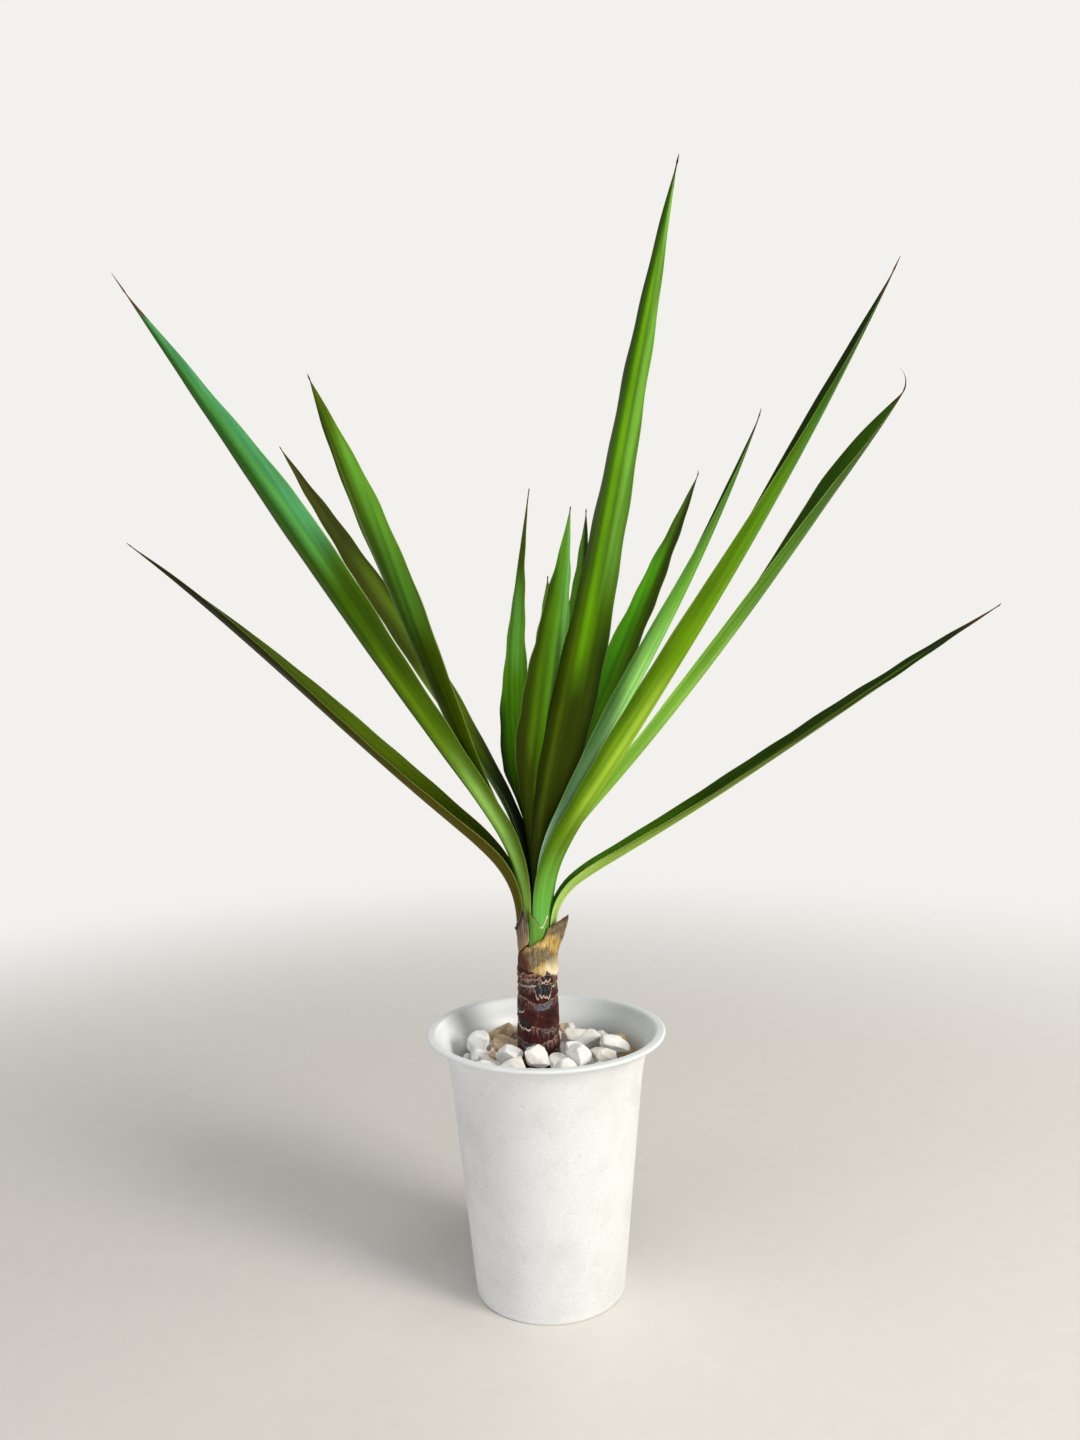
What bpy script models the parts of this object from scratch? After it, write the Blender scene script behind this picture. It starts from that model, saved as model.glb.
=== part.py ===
"""Potted yucca: a tall white plastic pot, a bed of pebbles, one short cane and a crown of sword leaves.

Units are metres, +Z is up, and the origin is the middle of the pot's flat bottom.
Azimuths are degrees counter-clockwise from +X, seen from above; leans are degrees above level.
"""
import math
import random
from collections import namedtuple

import bmesh
import bpy
from mathutils import Euler, Matrix, Vector
from mathutils.bvhtree import BVHTree

COLLECTION = "potted_yucca"
GAP = 0.0004                  # clearance between pieces that touch

# Pot: a tapered wall that flares into a thin flat lip.
POT_HEIGHT = 0.198
POT_BASE_RADIUS = 0.0565
POT_TAPER = 0.095             # outward slope of the wall
POT_LIP_RADIUS = 0.090
POT_LIP_THICKNESS = 0.003
POT_LIP_WIDTH = 0.0075
POT_FLARE = 0.0134            # extra radius that the flare reaches under the lip
POT_FLARE_LENGTH = 0.007
POT_WALL = 0.0026
POT_FLOOR = 0.004
POT_STEPS = 40

# Soil fills the pot up to the pebbles.
SOIL_TOP = 0.163

# Cane: stands in the soil, a little left of the pot's middle.
CANE_X = -0.0055
CANE_RADIUS = 0.0163
CANE_TOP_RADIUS = 0.0146
CANE_FOOT = 0.130
CANE_SHOULDER = 0.238         # where the dry leaf bases start
CANE_NECK_RADIUS = 0.0143
CANE_SCARS = 7
CANE_SCAR_DEPTH = 0.0006
CROWN_FOOT = 0.262            # where the lowest leaf is attached
CROWN_CORE_RADIUS = 0.01285
CROWN_CORE_SLOPE = 0.218      # the core thins by this much for each metre of height
CROWN_TOP = 0.316
CANE_STEPS = 24

# Leaf bases clasp the core in seven nested layers, the innermost first.
LAYER_RADIUS = 0.0027
LAYER_PITCH = 0.00175
LEAF_BASE_THICKNESS = 0.0014
LEAF_TIP_THICKNESS = 0.0008
LEAF_EDGE_THINNING = 0.6      # share of the thickness lost at the edges
LEAF_TIP_HALF_WIDTH = 0.0005
LEAF_KEEL_ROUNDING = 0.0015   # keeps the fold from sharpening at the tip
CLASP_LENGTH = 0.055          # how far up the clasping roundness fades out
LEAF_BEND_POWER = 2.5         # how suddenly the upright base bends over
LEAF_TWIST_START = 0.025
LEAF_TWIST_RAMP = 0.060       # the twist grows to its full value over this length
LEAF_STATIONS = 17
LEAF_CROWDING = 1.8           # stations lie closer together near the base, where the leaf bends
LEAF_COLUMNS = (-1.0, -0.67, -0.33, 0.0, 0.33, 0.67, 1.0)

Leaf = namedtuple(
    "Leaf",
    "layer clasp azimuth sway lean tip_lean bow bend length width belly taper twist tip_twist roll fold",
)
LEAVES = (
    Leaf(6, 44, 177.5, 3, 35.5, 39, 6, 0.055, 0.431, 0.039, 0.22, 2.61, 13, 25, -29, 72),
    Leaf(5, 47, 206, -2.5, 51, 55.5, 2.5, 0.067, 0.536, 0.0415, 0.66, 1.2, 18, 30, 0, 68),
    Leaf(3, 60, 146.5, -6, 50.5, 49.5, 1, 0.066, 0.475, 0.038, 0.44, 1.49, 34, -24, -9, 56),
    Leaf(4, 54, 190, 7, 55, 68.5, 7, 0.050, 0.431, 0.043, 0.51, 1.81, -6, 78, -23, 61),
    Leaf(0, 36, 205, 5, 66, 100, 8.5, 0.034, 0.296, 0.0325, 0.30, 1.32, 72, -12, -2, 45),
    Leaf(1, 46, 286.5, 21.5, 77, 79, -4, 0.063, 0.287, 0.0415, 0.42, 1.42, -10, 0, -3, 42),
    Leaf(0, 36, 66, -20, 70.5, 88, 1.5, 0.055, 0.232, 0.0265, 0.55, 1.62, 0, 31, 0, 50),
    Leaf(1, 43, 56, -16, 60.5, 87, -1.5, 0.055, 0.302, 0.03, 0.45, 1.6, 6, 34, 0, 52),
    Leaf(2, 46, 299, -4, 62.5, 61, 4.5, 0.052, 0.511, 0.0405, 0.34, 1.76, -10, -45, -46, 47),
    Leaf(2, 46, 42, -2, 53, 60, 1, 0.050, 0.393, 0.037, 0.38, 1.52, -5, 29, -1, 52),
    Leaf(3, 58, 331, -0.5, 58, 68.5, -4, 0.050, 0.396, 0.043, 0.49, 1.51, 16, 41, -17, 66),
    Leaf(5, 60, 317.5, -7, 51, 57.5, -3, 0.053, 0.516, 0.043, 0.50, 1.98, -8, 62, -7, 71),
    Leaf(4, 58, 352, -3.5, 43.5, 55.5, 2.5, 0.054, 0.465, 0.038, 0.82, 1.5, -8, 38, -22, 66),
    Leaf(6, 44, 2, -1, 25, 31, 5, 0.039, 0.434, 0.0335, 0.18, 1.48, -7, 47, -9, 62),
)

# Short leaf bases left round the top of the cane, each a thin bent sheet.
SHEATH_THICKNESS = 0.0008
SHEATH_RADIUS = 0.0150
CUP_HUG = 0.0005              # how much closer the dry cup's foot lies to the cane
CUP_POINT_AZIMUTH = 334.0
CUP_POINT_SPREAD = 15.0       # degrees over which the pointed end curls away
CUP_POINT_REACH = 0.0115
STRIP_FLARE = 0.0012
GREEN_BASE_LAYER = 6

# Pebbles: rounded marble chips dropped one after another onto the soil.
PEBBLES = 38
PEBBLE_LENGTH = (0.020, 0.026)
PEBBLE_BREADTH = 0.82         # breadth and height as shares of the length
PEBBLE_HEIGHT = 0.66
PEBBLE_ROUGHNESS = 0.07
PEBBLE_TRIES = 30
PEBBLE_DROP = 0.045           # each chip starts this far above the soil
PEBBLE_STEP = 0.002           # and comes down in steps, halved on contact down to the last
PEBBLE_LAST_STEP = 0.00005
PEBBLE_EDGE = 0.011           # the chips' middles stay this far from the pot's wall
PEBBLE_TILT = 0.5
PEBBLE_BANK = 0.05            # the bed rises towards the front by this slope
PEBBLE_SEED = 28


def clear_scene():
    for item in list(bpy.data.objects):
        bpy.data.objects.remove(item, do_unlink=True)


def make_collection(name):
    collection = bpy.data.collections.new(name)
    bpy.context.scene.collection.children.link(collection)
    return collection


def make_material(name, colour, roughness):
    material = bpy.data.materials.new(name)
    material.use_nodes = True
    shader = material.node_tree.nodes["Principled BSDF"]
    shader.inputs["Base Color"].default_value = (*colour, 1.0)
    shader.inputs["Roughness"].default_value = roughness
    shader.inputs["Metallic"].default_value = 0.0
    return material


def add_object(collection, name, mesh, material):
    mesh.materials.append(material)
    item = bpy.data.objects.new(name, mesh)
    collection.objects.link(item)
    return item


def smoothstep(value):
    value = min(max(value, 0.0), 1.0)
    return value * value * (3.0 - 2.0 * value)


def turned_object(collection, name, profile, steps, material):
    """Turn a profile of (radius, height) points round Z; its outer side runs top to bottom."""
    mesh = bpy.data.meshes.new(name)
    edges = [(i, i + 1) for i in range(len(profile) - 1)]
    mesh.from_pydata([(radius, 0.0, height) for radius, height in profile], edges, [])
    item = add_object(collection, name, mesh, material)
    screw = item.modifiers.new("Turn", "SCREW")
    screw.steps = steps
    screw.render_steps = steps
    screw.use_merge_vertices = True
    screw.merge_threshold = 0.0001
    screw.use_smooth_shade = True
    return item


# --- pot ------------------------------------------------------------------------------------------

def pot_outer_radius(height):
    flare = math.exp((height - (POT_HEIGHT - POT_LIP_THICKNESS)) / POT_FLARE_LENGTH)
    return POT_BASE_RADIUS + POT_TAPER * height + POT_FLARE * flare


def pot_inner_radius(height):
    return pot_outer_radius(height) - POT_WALL


def build_pot(collection):
    lip_under = POT_HEIGHT - POT_LIP_THICKNESS
    lip_inner = POT_LIP_RADIUS - POT_LIP_WIDTH
    inside = [POT_FLOOR, 0.05, 0.10, 0.14, 0.165, 0.178, 0.185]
    outside = [lip_under, 0.192, 0.188, 0.183, 0.176, 0.165, 0.14, 0.10, 0.05, 0.0015]
    profile = [(0.0, POT_FLOOR)]
    profile += [(pot_inner_radius(height), height) for height in inside]
    profile += [
        (lip_inner - 0.0028, POT_HEIGHT - 0.0060),
        (lip_inner - 0.0006, POT_HEIGHT - 0.0018),
        (lip_inner + 0.0012, POT_HEIGHT - 0.0002),
        (POT_LIP_RADIUS - 0.0012, POT_HEIGHT),
        (POT_LIP_RADIUS, POT_HEIGHT - 0.0010),
        (POT_LIP_RADIUS, lip_under + 0.0006),
    ]
    profile += [(min(pot_outer_radius(height), POT_LIP_RADIUS - 0.0008), height) for height in outside]
    profile += [(POT_BASE_RADIUS - 0.0012, 0.0), (0.0, 0.0)]
    white = make_material("white_polypropylene", (0.86, 0.87, 0.86), 0.45)
    return turned_object(collection, "pot", profile, POT_STEPS, white)


# --- soil -----------------------------------------------------------------------------------------

def build_soil(collection, cutters):
    heights = [0.150, 0.10, 0.05, POT_FLOOR + GAP]
    profile = [(0.0, SOIL_TOP), (pot_inner_radius(SOIL_TOP) - GAP, SOIL_TOP)]
    profile += [(pot_inner_radius(height) - GAP, height) for height in heights]
    profile.append((0.0, POT_FLOOR + GAP))
    peat = make_material("peat_soil", (0.045, 0.030, 0.020), 0.95)
    soil = turned_object(collection, "soil", profile, POT_STEPS, peat)

    mesh = bpy.data.meshes.new("cane_hole")
    shape = bmesh.new()
    depth = SOIL_TOP - CANE_FOOT + 0.010
    radius = CANE_RADIUS + CANE_SCAR_DEPTH + GAP
    bmesh.ops.create_cone(
        shape, cap_ends=True, segments=CANE_STEPS, radius1=radius, radius2=radius, depth=depth
    )
    shape.to_mesh(mesh)
    shape.free()
    cutter = bpy.data.objects.new("cane_hole", mesh)
    cutters.objects.link(cutter)
    cutter.location = (CANE_X, 0.0, CANE_FOOT - GAP + depth / 2.0)
    cutter.display_type = "WIRE"
    cutter.hide_render = True
    cut = soil.modifiers.new("Cane hole", "BOOLEAN")
    cut.operation = "DIFFERENCE"
    cut.solver = "EXACT"
    cut.object = cutter
    return soil


# --- cane -----------------------------------------------------------------------------------------

def crown_core_radius(height):
    return CROWN_CORE_RADIUS - CROWN_CORE_SLOPE * (height - CROWN_FOOT)


def build_cane(collection):
    profile = [(0.0, CROWN_TOP), (crown_core_radius(CROWN_TOP), CROWN_TOP - 0.001)]
    middle = (CROWN_FOOT + CROWN_TOP) / 2.0
    profile.append((crown_core_radius(middle), middle))
    profile.append((CROWN_CORE_RADIUS, CROWN_FOOT))
    profile.append((CANE_NECK_RADIUS, CANE_SHOULDER + 0.003))
    pitch = (CANE_SHOULDER - SOIL_TOP) / CANE_SCARS
    for scar in range(CANE_SCARS):
        top = CANE_SHOULDER - scar * pitch
        radius = CANE_RADIUS + (CANE_TOP_RADIUS - CANE_RADIUS) * (top - SOIL_TOP) / (CANE_SHOULDER - SOIL_TOP)
        profile.append((radius + CANE_SCAR_DEPTH, top))
        profile.append((radius - CANE_SCAR_DEPTH, top - 0.25 * pitch))
    profile.append((CANE_RADIUS, SOIL_TOP))
    profile.append((CANE_RADIUS, CANE_FOOT + 0.001))
    profile.append((CANE_RADIUS - 0.001, CANE_FOOT))
    profile.append((0.0, CANE_FOOT))
    bark = make_material("yucca_bark", (0.105, 0.035, 0.025), 0.75)
    cane = turned_object(collection, "cane", profile, CANE_STEPS, bark)
    cane.location.x = CANE_X
    return cane


# --- short leaf bases -----------------------------------------------------------------------------

def interpolate(points, position):
    """Read a smooth value from (position, value) points."""
    for (start, low), (end, high) in zip(points, points[1:]):
        if position <= end:
            return low + (high - low) * smoothstep((position - start) / (end - start))
    return points[-1][1]


def wrapped_sheet(collection, name, foot, head, radius, columns, rows, material):
    """A thin sheet bent round the cane; foot and head list (azimuth, height), radius(share, azimuth)."""
    first = foot[0][0]
    last = foot[-1][0]
    shape = bmesh.new()
    grid = []
    for row in range(rows + 1):
        share = row / rows
        line = []
        for column in range(columns + 1):
            azimuth = first + (last - first) * column / columns
            low = interpolate(foot, azimuth)
            high = interpolate(head, azimuth)
            reach = radius(share, azimuth)
            angle = math.radians(azimuth)
            place = (CANE_X + reach * math.cos(angle), reach * math.sin(angle), low + (high - low) * share)
            line.append(shape.verts.new(place))
        grid.append(line)
    for below, above in zip(grid, grid[1:]):
        for column in range(columns):
            shape.faces.new((below[column], below[column + 1], above[column + 1], above[column]))
    mesh = bpy.data.meshes.new(name)
    shape.to_mesh(mesh)
    shape.free()
    mesh.shade_smooth()
    item = add_object(collection, name, mesh, material)
    thicken = item.modifiers.new("Thickness", "SOLIDIFY")
    thicken.thickness = SHEATH_THICKNESS
    thicken.offset = 1.0
    return item


def cup_radius(share, azimuth):
    """The dry cup hugs the cane at its foot and its pointed end curls away from the crown."""
    hug = CUP_HUG * (1.0 - smoothstep(share * 3.0))
    point = math.exp(-((azimuth - CUP_POINT_AZIMUTH) / CUP_POINT_SPREAD) ** 2)
    return SHEATH_RADIUS - hug + CUP_POINT_REACH * point * smoothstep((share - 0.35) / 0.65)


def strip_radius(share, azimuth):
    """The brown strip stands up straight and opens a little towards its top."""
    return SHEATH_RADIUS + STRIP_FLARE * smoothstep((share - 0.3) / 0.7)


def green_radius(share, azimuth):
    """The green base lies in the outermost layer of leaves, between the lowest two."""
    return LAYER_RADIUS + GREEN_BASE_LAYER * LAYER_PITCH


def build_leaf_bases(collection):
    straw = make_material("dry_leaf_straw", (0.42, 0.27, 0.11), 0.7)
    husk = make_material("dry_leaf_brown", (0.20, 0.11, 0.06), 0.75)
    green = make_material("leaf_base_green", (0.16, 0.36, 0.04), 0.45)
    foot = [(212, 0.2480), (250, 0.2450), (300, 0.2425), (385, 0.2460)]
    head = [
        (212, 0.2580), (243, 0.2640), (286, 0.2690), (310, 0.2780),
        (334, 0.2870), (352, 0.2700), (385, 0.2560),
    ]
    wrapped_sheet(collection, "dry_leaf_base_front", foot, head, cup_radius, 22, 5, straw)
    foot = [(204, 0.2590), (212, 0.2595), (243, 0.2652), (248, 0.2680)]
    head = [(204, 0.2770), (218, 0.2820), (236, 0.2930), (248, 0.2860)]
    wrapped_sheet(collection, "dry_leaf_base_left", foot, head, strip_radius, 7, 5, husk)
    foot = [(246, 0.2635), (280, 0.2625), (312, 0.2635)]
    head = [(246, 0.2900), (262, 0.2860), (288, 0.2780), (312, 0.2860)]
    wrapped_sheet(collection, "green_leaf_base", foot, head, green_radius, 10, 4, green)


# --- leaves ---------------------------------------------------------------------------------------

def leaf_half_width(leaf, root, share):
    half = leaf.width / 2.0
    if share < leaf.belly:
        return root + (half - root) * smoothstep(share / leaf.belly)
    narrowing = ((share - leaf.belly) / (1.0 - leaf.belly)) ** leaf.taper
    return max(half * (1.0 - narrowing), LEAF_TIP_HALF_WIDTH)


def leaf_sections(leaf):
    """Closed cross-sections from the clasping base to the tip, each a ring of points."""
    inner = LAYER_RADIUS + leaf.layer * LAYER_PITCH
    middle = inner + LEAF_BASE_THICKNESS / 2.0
    height = CROWN_FOOT + (CROWN_CORE_RADIUS + 0.0003 - inner) / CROWN_CORE_SLOPE
    azimuth = math.radians(leaf.azimuth)
    place = Vector((CANE_X + middle * math.cos(azimuth), middle * math.sin(azimuth), height))
    root = math.radians(leaf.clasp) * middle
    sections = []
    tangent = Vector((0.0, 0.0, 1.0))
    reached = 0.0
    for station in range(LEAF_STATIONS):
        share = (station / (LEAF_STATIONS - 1)) ** LEAF_CROWDING
        distance = share * leaf.length
        heading = math.radians(leaf.azimuth + leaf.sway * share)
        arch = 4.0 * share * (1.0 - share)
        rise = (90.0 - leaf.lean) * math.exp(-((distance / leaf.bend) ** LEAF_BEND_POWER))
        rise += (leaf.lean - leaf.tip_lean) * (1.0 - share) + leaf.bow * arch
        lean = math.radians(leaf.tip_lean + rise)
        before = tangent
        level = Vector((math.cos(heading), math.sin(heading), 0.0))
        tangent = level * math.cos(lean) + Vector((0.0, 0.0, math.sin(lean)))
        place = place + (distance - reached) * 0.5 * (before + tangent)
        reached = distance
        up = Vector((0.0, 0.0, math.cos(lean))) - level * math.sin(lean)
        turn = leaf.twist + (leaf.tip_twist - leaf.twist) * share + leaf.roll * arch
        turn *= min(max((distance - LEAF_TWIST_START) / LEAF_TWIST_RAMP, 0.0), 1.0)
        up = Matrix.Rotation(math.radians(turn), 3, tangent) @ up
        side = tangent.cross(up)
        clasp = math.exp(-((distance / CLASP_LENGTH) ** 2))
        half = leaf_half_width(leaf, root, share)
        folded = math.radians(leaf.fold) / (half + LEAF_KEEL_ROUNDING)
        curl = clasp / middle + (1.0 - clasp) * folded
        thickness = LEAF_BASE_THICKNESS + (LEAF_TIP_THICKNESS - LEAF_BASE_THICKNESS) * share
        above = []
        below = []
        for column in LEAF_COLUMNS:
            angle = column * half * curl
            point = place + side * (math.sin(angle) / curl) + up * ((1.0 - math.cos(angle)) / curl)
            outward = up * math.cos(angle) - side * math.sin(angle)
            offset = outward * (thickness / 2.0) * (1.0 - LEAF_EDGE_THINNING * column * column)
            above.append(point + offset)
            below.append(point - offset)
        sections.append(above + below[::-1])
    return sections


def loft(name, sections):
    """Join closed rings of equal length into one solid with flat ends."""
    shape = bmesh.new()
    rings = [[shape.verts.new(point) for point in section] for section in sections]
    count = len(rings[0])
    for low, high in zip(rings, rings[1:]):
        for i in range(count):
            j = (i + 1) % count
            shape.faces.new((low[i], low[j], high[j], high[i]))
    half = count // 2
    for ring, forward in ((rings[0], False), (rings[-1], True)):
        for i in range(half - 1):
            corners = (ring[i], ring[i + 1], ring[count - 2 - i], ring[count - 1 - i])
            shape.faces.new(corners if forward else corners[::-1])
    bmesh.ops.recalc_face_normals(shape, faces=shape.faces)
    mesh = bpy.data.meshes.new(name)
    shape.to_mesh(mesh)
    shape.free()
    mesh.shade_smooth()
    return mesh


def build_leaves(collection):
    for number, leaf in enumerate(LEAVES, start=1):
        name = f"leaf_{number:02d}"
        green = make_material(name + "_green", (0.085, 0.230, 0.020), 0.4)
        add_object(collection, name, loft(name, leaf_sections(leaf)), green)


# --- pebbles --------------------------------------------------------------------------------------

def pebble_points(chance):
    """An egg-like chip of random size with an uneven surface, as points and triangles."""
    length = chance.uniform(*PEBBLE_LENGTH)
    shape = bmesh.new()
    bmesh.ops.create_icosphere(shape, subdivisions=2, radius=0.5)
    spread = (length, length * PEBBLE_BREADTH * chance.uniform(0.85, 1.1), length * PEBBLE_HEIGHT)
    points = []
    for vertex in shape.verts:
        swell = 1.0 + chance.uniform(-PEBBLE_ROUGHNESS, PEBBLE_ROUGHNESS)
        points.append(Vector([value * size * swell for value, size in zip(vertex.co, spread)]))
    faces = [[vertex.index for vertex in face.verts] for face in shape.faces]
    shape.free()
    return points, faces


def finished_tree(item):
    """A search tree over an object's finished shape, with its modifiers applied."""
    bpy.context.view_layer.update()
    mesh = item.evaluated_get(bpy.context.evaluated_depsgraph_get()).to_mesh()
    points = [item.matrix_world @ vertex.co for vertex in mesh.vertices]
    faces = [list(polygon.vertices) for polygon in mesh.polygons]
    return BVHTree.FromPolygons(points, faces)


def drop_pebble(chance, trees):
    """Try several places and keep the one where the chip comes to rest lowest, the front counting as lower."""
    points, faces = pebble_points(chance)
    best = None
    for _ in range(PEBBLE_TRIES):
        tilts = (chance.uniform(-PEBBLE_TILT, PEBBLE_TILT), chance.uniform(-PEBBLE_TILT, PEBBLE_TILT))
        turn = Euler((*tilts, chance.uniform(0.0, math.tau)))
        turned = [turn.to_matrix() @ point for point in points]
        distance = math.sqrt(chance.uniform(0.10, 1.0)) * (pot_inner_radius(SOIL_TOP) - PEBBLE_EDGE)
        angle = chance.uniform(0.0, math.tau)
        place = Vector((distance * math.cos(angle), distance * math.sin(angle), SOIL_TOP + PEBBLE_DROP))
        swollen = [point * (1.0 + GAP / point.length) for point in turned]
        step = PEBBLE_STEP
        while step > PEBBLE_LAST_STEP:
            lower = place - Vector((0.0, 0.0, step))
            moved = [point + lower for point in swollen]
            tree = BVHTree.FromPolygons(moved, faces)
            if any(tree.overlap(other) for other in trees):
                step /= 2.0
            else:
                place = lower
        level = place.z + PEBBLE_BANK * place.y
        if best is None or level < best[0]:
            best = (level, [point + place for point in turned])
    return best[1], faces


def build_pebbles(collection, around):
    chance = random.Random(PEBBLE_SEED)
    trees = [finished_tree(item) for item in around]
    for number in range(1, PEBBLES + 1):
        name = f"pebble_{number:02d}"
        points, faces = drop_pebble(chance, trees)
        middle = sum(points, Vector()) / len(points)
        mesh = bpy.data.meshes.new(name)
        mesh.from_pydata([point - middle for point in points], [], faces)
        mesh.shade_smooth()
        shade = chance.uniform(0.72, 0.88)
        marble = make_material(name + "_marble", (shade, shade, shade * 0.96), 0.6)
        pebble = add_object(collection, name, mesh, marble)
        pebble.location = middle
        trees.append(BVHTree.FromPolygons(points, faces))


def build():
    clear_scene()
    parts = make_collection(COLLECTION)
    cutters = make_collection("cutters")
    pot = build_pot(parts)
    soil = build_soil(parts, cutters)
    cane = build_cane(parts)
    build_leaf_bases(parts)
    build_leaves(parts)
    build_pebbles(parts, (pot, soil, cane))


build()
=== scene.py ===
"""Potted yucca: the finished surfaces of a pot, its cane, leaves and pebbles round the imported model.

Metres, +Z up. Azimuths are degrees counter-clockwise from +X, seen from above.
"""
import math
import random
from collections import namedtuple
from functools import partial

import bmesh
import bpy
import numpy as np
from mathutils import Matrix, Vector, noise
from mathutils.bvhtree import BVHTree


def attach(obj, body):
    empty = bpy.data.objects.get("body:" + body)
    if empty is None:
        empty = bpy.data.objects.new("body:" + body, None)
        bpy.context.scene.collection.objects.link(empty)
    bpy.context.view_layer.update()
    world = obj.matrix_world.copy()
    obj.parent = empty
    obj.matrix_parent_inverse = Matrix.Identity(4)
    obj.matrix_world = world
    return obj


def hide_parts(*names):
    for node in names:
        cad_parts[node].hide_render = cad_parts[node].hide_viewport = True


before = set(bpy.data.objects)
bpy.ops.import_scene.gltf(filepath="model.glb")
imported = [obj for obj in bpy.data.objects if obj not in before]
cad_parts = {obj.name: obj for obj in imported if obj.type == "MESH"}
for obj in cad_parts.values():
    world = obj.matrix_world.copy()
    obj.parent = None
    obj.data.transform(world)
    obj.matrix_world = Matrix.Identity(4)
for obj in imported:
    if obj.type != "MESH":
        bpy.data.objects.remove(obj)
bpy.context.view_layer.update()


# --- Pot ------------------------------------------------------------------------------------------
# A tall tapered pot, injection moulded in white polypropylene in one shot. The outside of the mould
# is spark eroded, so it comes out sandy and matt; the lip and the inside are smoother.

POT_HEIGHT = 0.198
POT_BASE_RADIUS = 0.0565
POT_TAPER = 0.095
POT_FLARE = 0.0134
POT_FLARE_LENGTH = 0.007
POT_LIP_THICKNESS = 0.003
POT_WALL = 0.0026
POT_STEPS = 180
MOULD_RING_PITCH = 0.0022     # faint rings left by the mould round the foot
MOULD_RING_DEPTH = 0.00012
MOULD_RING_TOP = 0.0105

# The outline as (radius, height): from the middle of the floor to the corner of the wall, over the
# turned lip, and under the foot. The walls between them follow the taper through the listed heights.
POT_FLOOR = [(0.004, 0.004), (0.030, 0.004), (0.0515, 0.004), (0.0538, 0.0046), (0.0546, 0.0070)]
POT_INSIDE = [0.03, 0.06, 0.09, 0.12, 0.145, 0.160, 0.170, 0.177, 0.182, 0.187]
POT_LIP = [
    (0.0797, 0.1920), (0.0817, 0.1957), (0.0827, 0.1971), (0.0838, 0.1978), (0.0850, 0.1980),
    (0.0884, 0.1980), (0.0896, 0.1977), (0.0900, 0.1970), (0.0900, 0.1960), (0.0895, 0.1954),
]
POT_OUTSIDE = [
    0.1945, 0.1928, 0.1905, 0.188, 0.185, 0.182, 0.178, 0.172, 0.16, 0.14, 0.11, 0.08, 0.05, 0.025, 0.015,
]
POT_RINGED = list(np.arange(0.0120, 0.0024, -0.0004))     # close together, to show the mould rings
POT_FOOT = [(0.0567, 0.0014), (0.0562, 0.0004), (0.0552, 0.0), (0.0535, 0.0), (0.030, 0.0), (0.004, 0.0)]


def linear(colour):
    """An sRGB hex colour as a linear RGBA value."""
    parts = [int(colour[i:i + 2], 16) / 255.0 for i in (1, 3, 5)]
    return (*[p / 12.92 if p <= 0.04045 else ((p + 0.055) / 1.055) ** 2.4 for p in parts], 1.0)


def add_node(tree, kind, inputs=(), stops=None, out=0, **settings):
    """Add a shader node with its settings and colour stops, and return one of its outputs.

    Its inputs, values or links, are listed in order from the first or given by name or number.
    """
    made = tree.nodes.new("ShaderNode" + kind)
    for name, value in settings.items():
        setattr(made, name, value)
    if stops:
        elements = made.color_ramp.elements
        elements.remove(elements[1])
        for i, (position, colour) in enumerate(stops.items()):
            element = elements.new(position) if i else elements[0]
            element.position = position
            element.color = linear(colour)
    for name, value in inputs.items() if isinstance(inputs, dict) else enumerate(inputs):
        if isinstance(value, bpy.types.NodeSocket):
            tree.links.new(value, made.inputs[name])
        else:
            made.inputs[name].default_value = linear(value) if isinstance(value, str) else value
    return made.outputs[out] if made.outputs else None


# Settings of a Mix node that blends two colours, and of one that multiplies them.
BLENDED = {"data_type": "RGBA", "out": 2}
TINTED = {**BLENDED, "blend_type": "MULTIPLY"}


def start_material(name):
    """A new material, emptied down to its output, and the function that adds a node to it."""
    material = bpy.data.materials.new(name)
    material.use_nodes = True
    material.node_tree.nodes.remove(material.node_tree.nodes["Principled BSDF"])
    return material, partial(add_node, material.node_tree)


def finish_material(material, shader):
    """Give a material its finished surface."""
    tree = material.node_tree
    tree.links.new(shader, tree.nodes["Material Output"].inputs["Surface"])
    return material


def make_piece(name, points, faces, fields, material):
    """A smooth closed mesh; its fields are values at its points that the material reads by name."""
    mesh = bpy.data.meshes.new(name)
    mesh.from_pydata(np.asarray(points).reshape(-1, 3).tolist(), [], faces)
    for field, values in fields.items():
        layer = mesh.attributes.new(field, "FLOAT", "POINT")
        layer.data.foreach_set("value", np.ascontiguousarray(values, dtype=np.float32).ravel())
    shape = bmesh.new()
    shape.from_mesh(mesh)
    bmesh.ops.recalc_face_normals(shape, faces=shape.faces)
    shape.to_mesh(mesh)
    shape.free()
    mesh.shade_smooth()
    mesh.materials.append(material)
    piece = bpy.data.objects.new(name, mesh)
    bpy.context.scene.collection.objects.link(piece)
    return piece


def ring_faces(rows, steps):
    """The quads between each ring of points and the next."""
    return [
        (start + i, start + (i + 1) % steps, start + steps + (i + 1) % steps, start + steps + i)
        for start in range(0, (rows - 1) * steps, steps) for i in range(steps)
    ]


def round_piece(name, rings, fields, material):
    """Skin a stack of closed rings and draw its two ends together to a point."""
    rows, steps = rings.shape[:2]
    points = np.concatenate([rings.reshape(-1, 3), rings[[0, -1]].mean(axis=1)])
    faces = ring_faces(rows, steps)
    for row, pole in ((0, rows * steps), (rows - 1, rows * steps + 1)):
        faces += [(row * steps + i, row * steps + (i + 1) % steps, pole) for i in range(steps)]
    full = {
        field: np.concatenate([values.ravel(), values[[0, -1]].mean(axis=1)])
        for field, values in fields.items()
    }
    return make_piece(name, points, faces, full, material)


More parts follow.
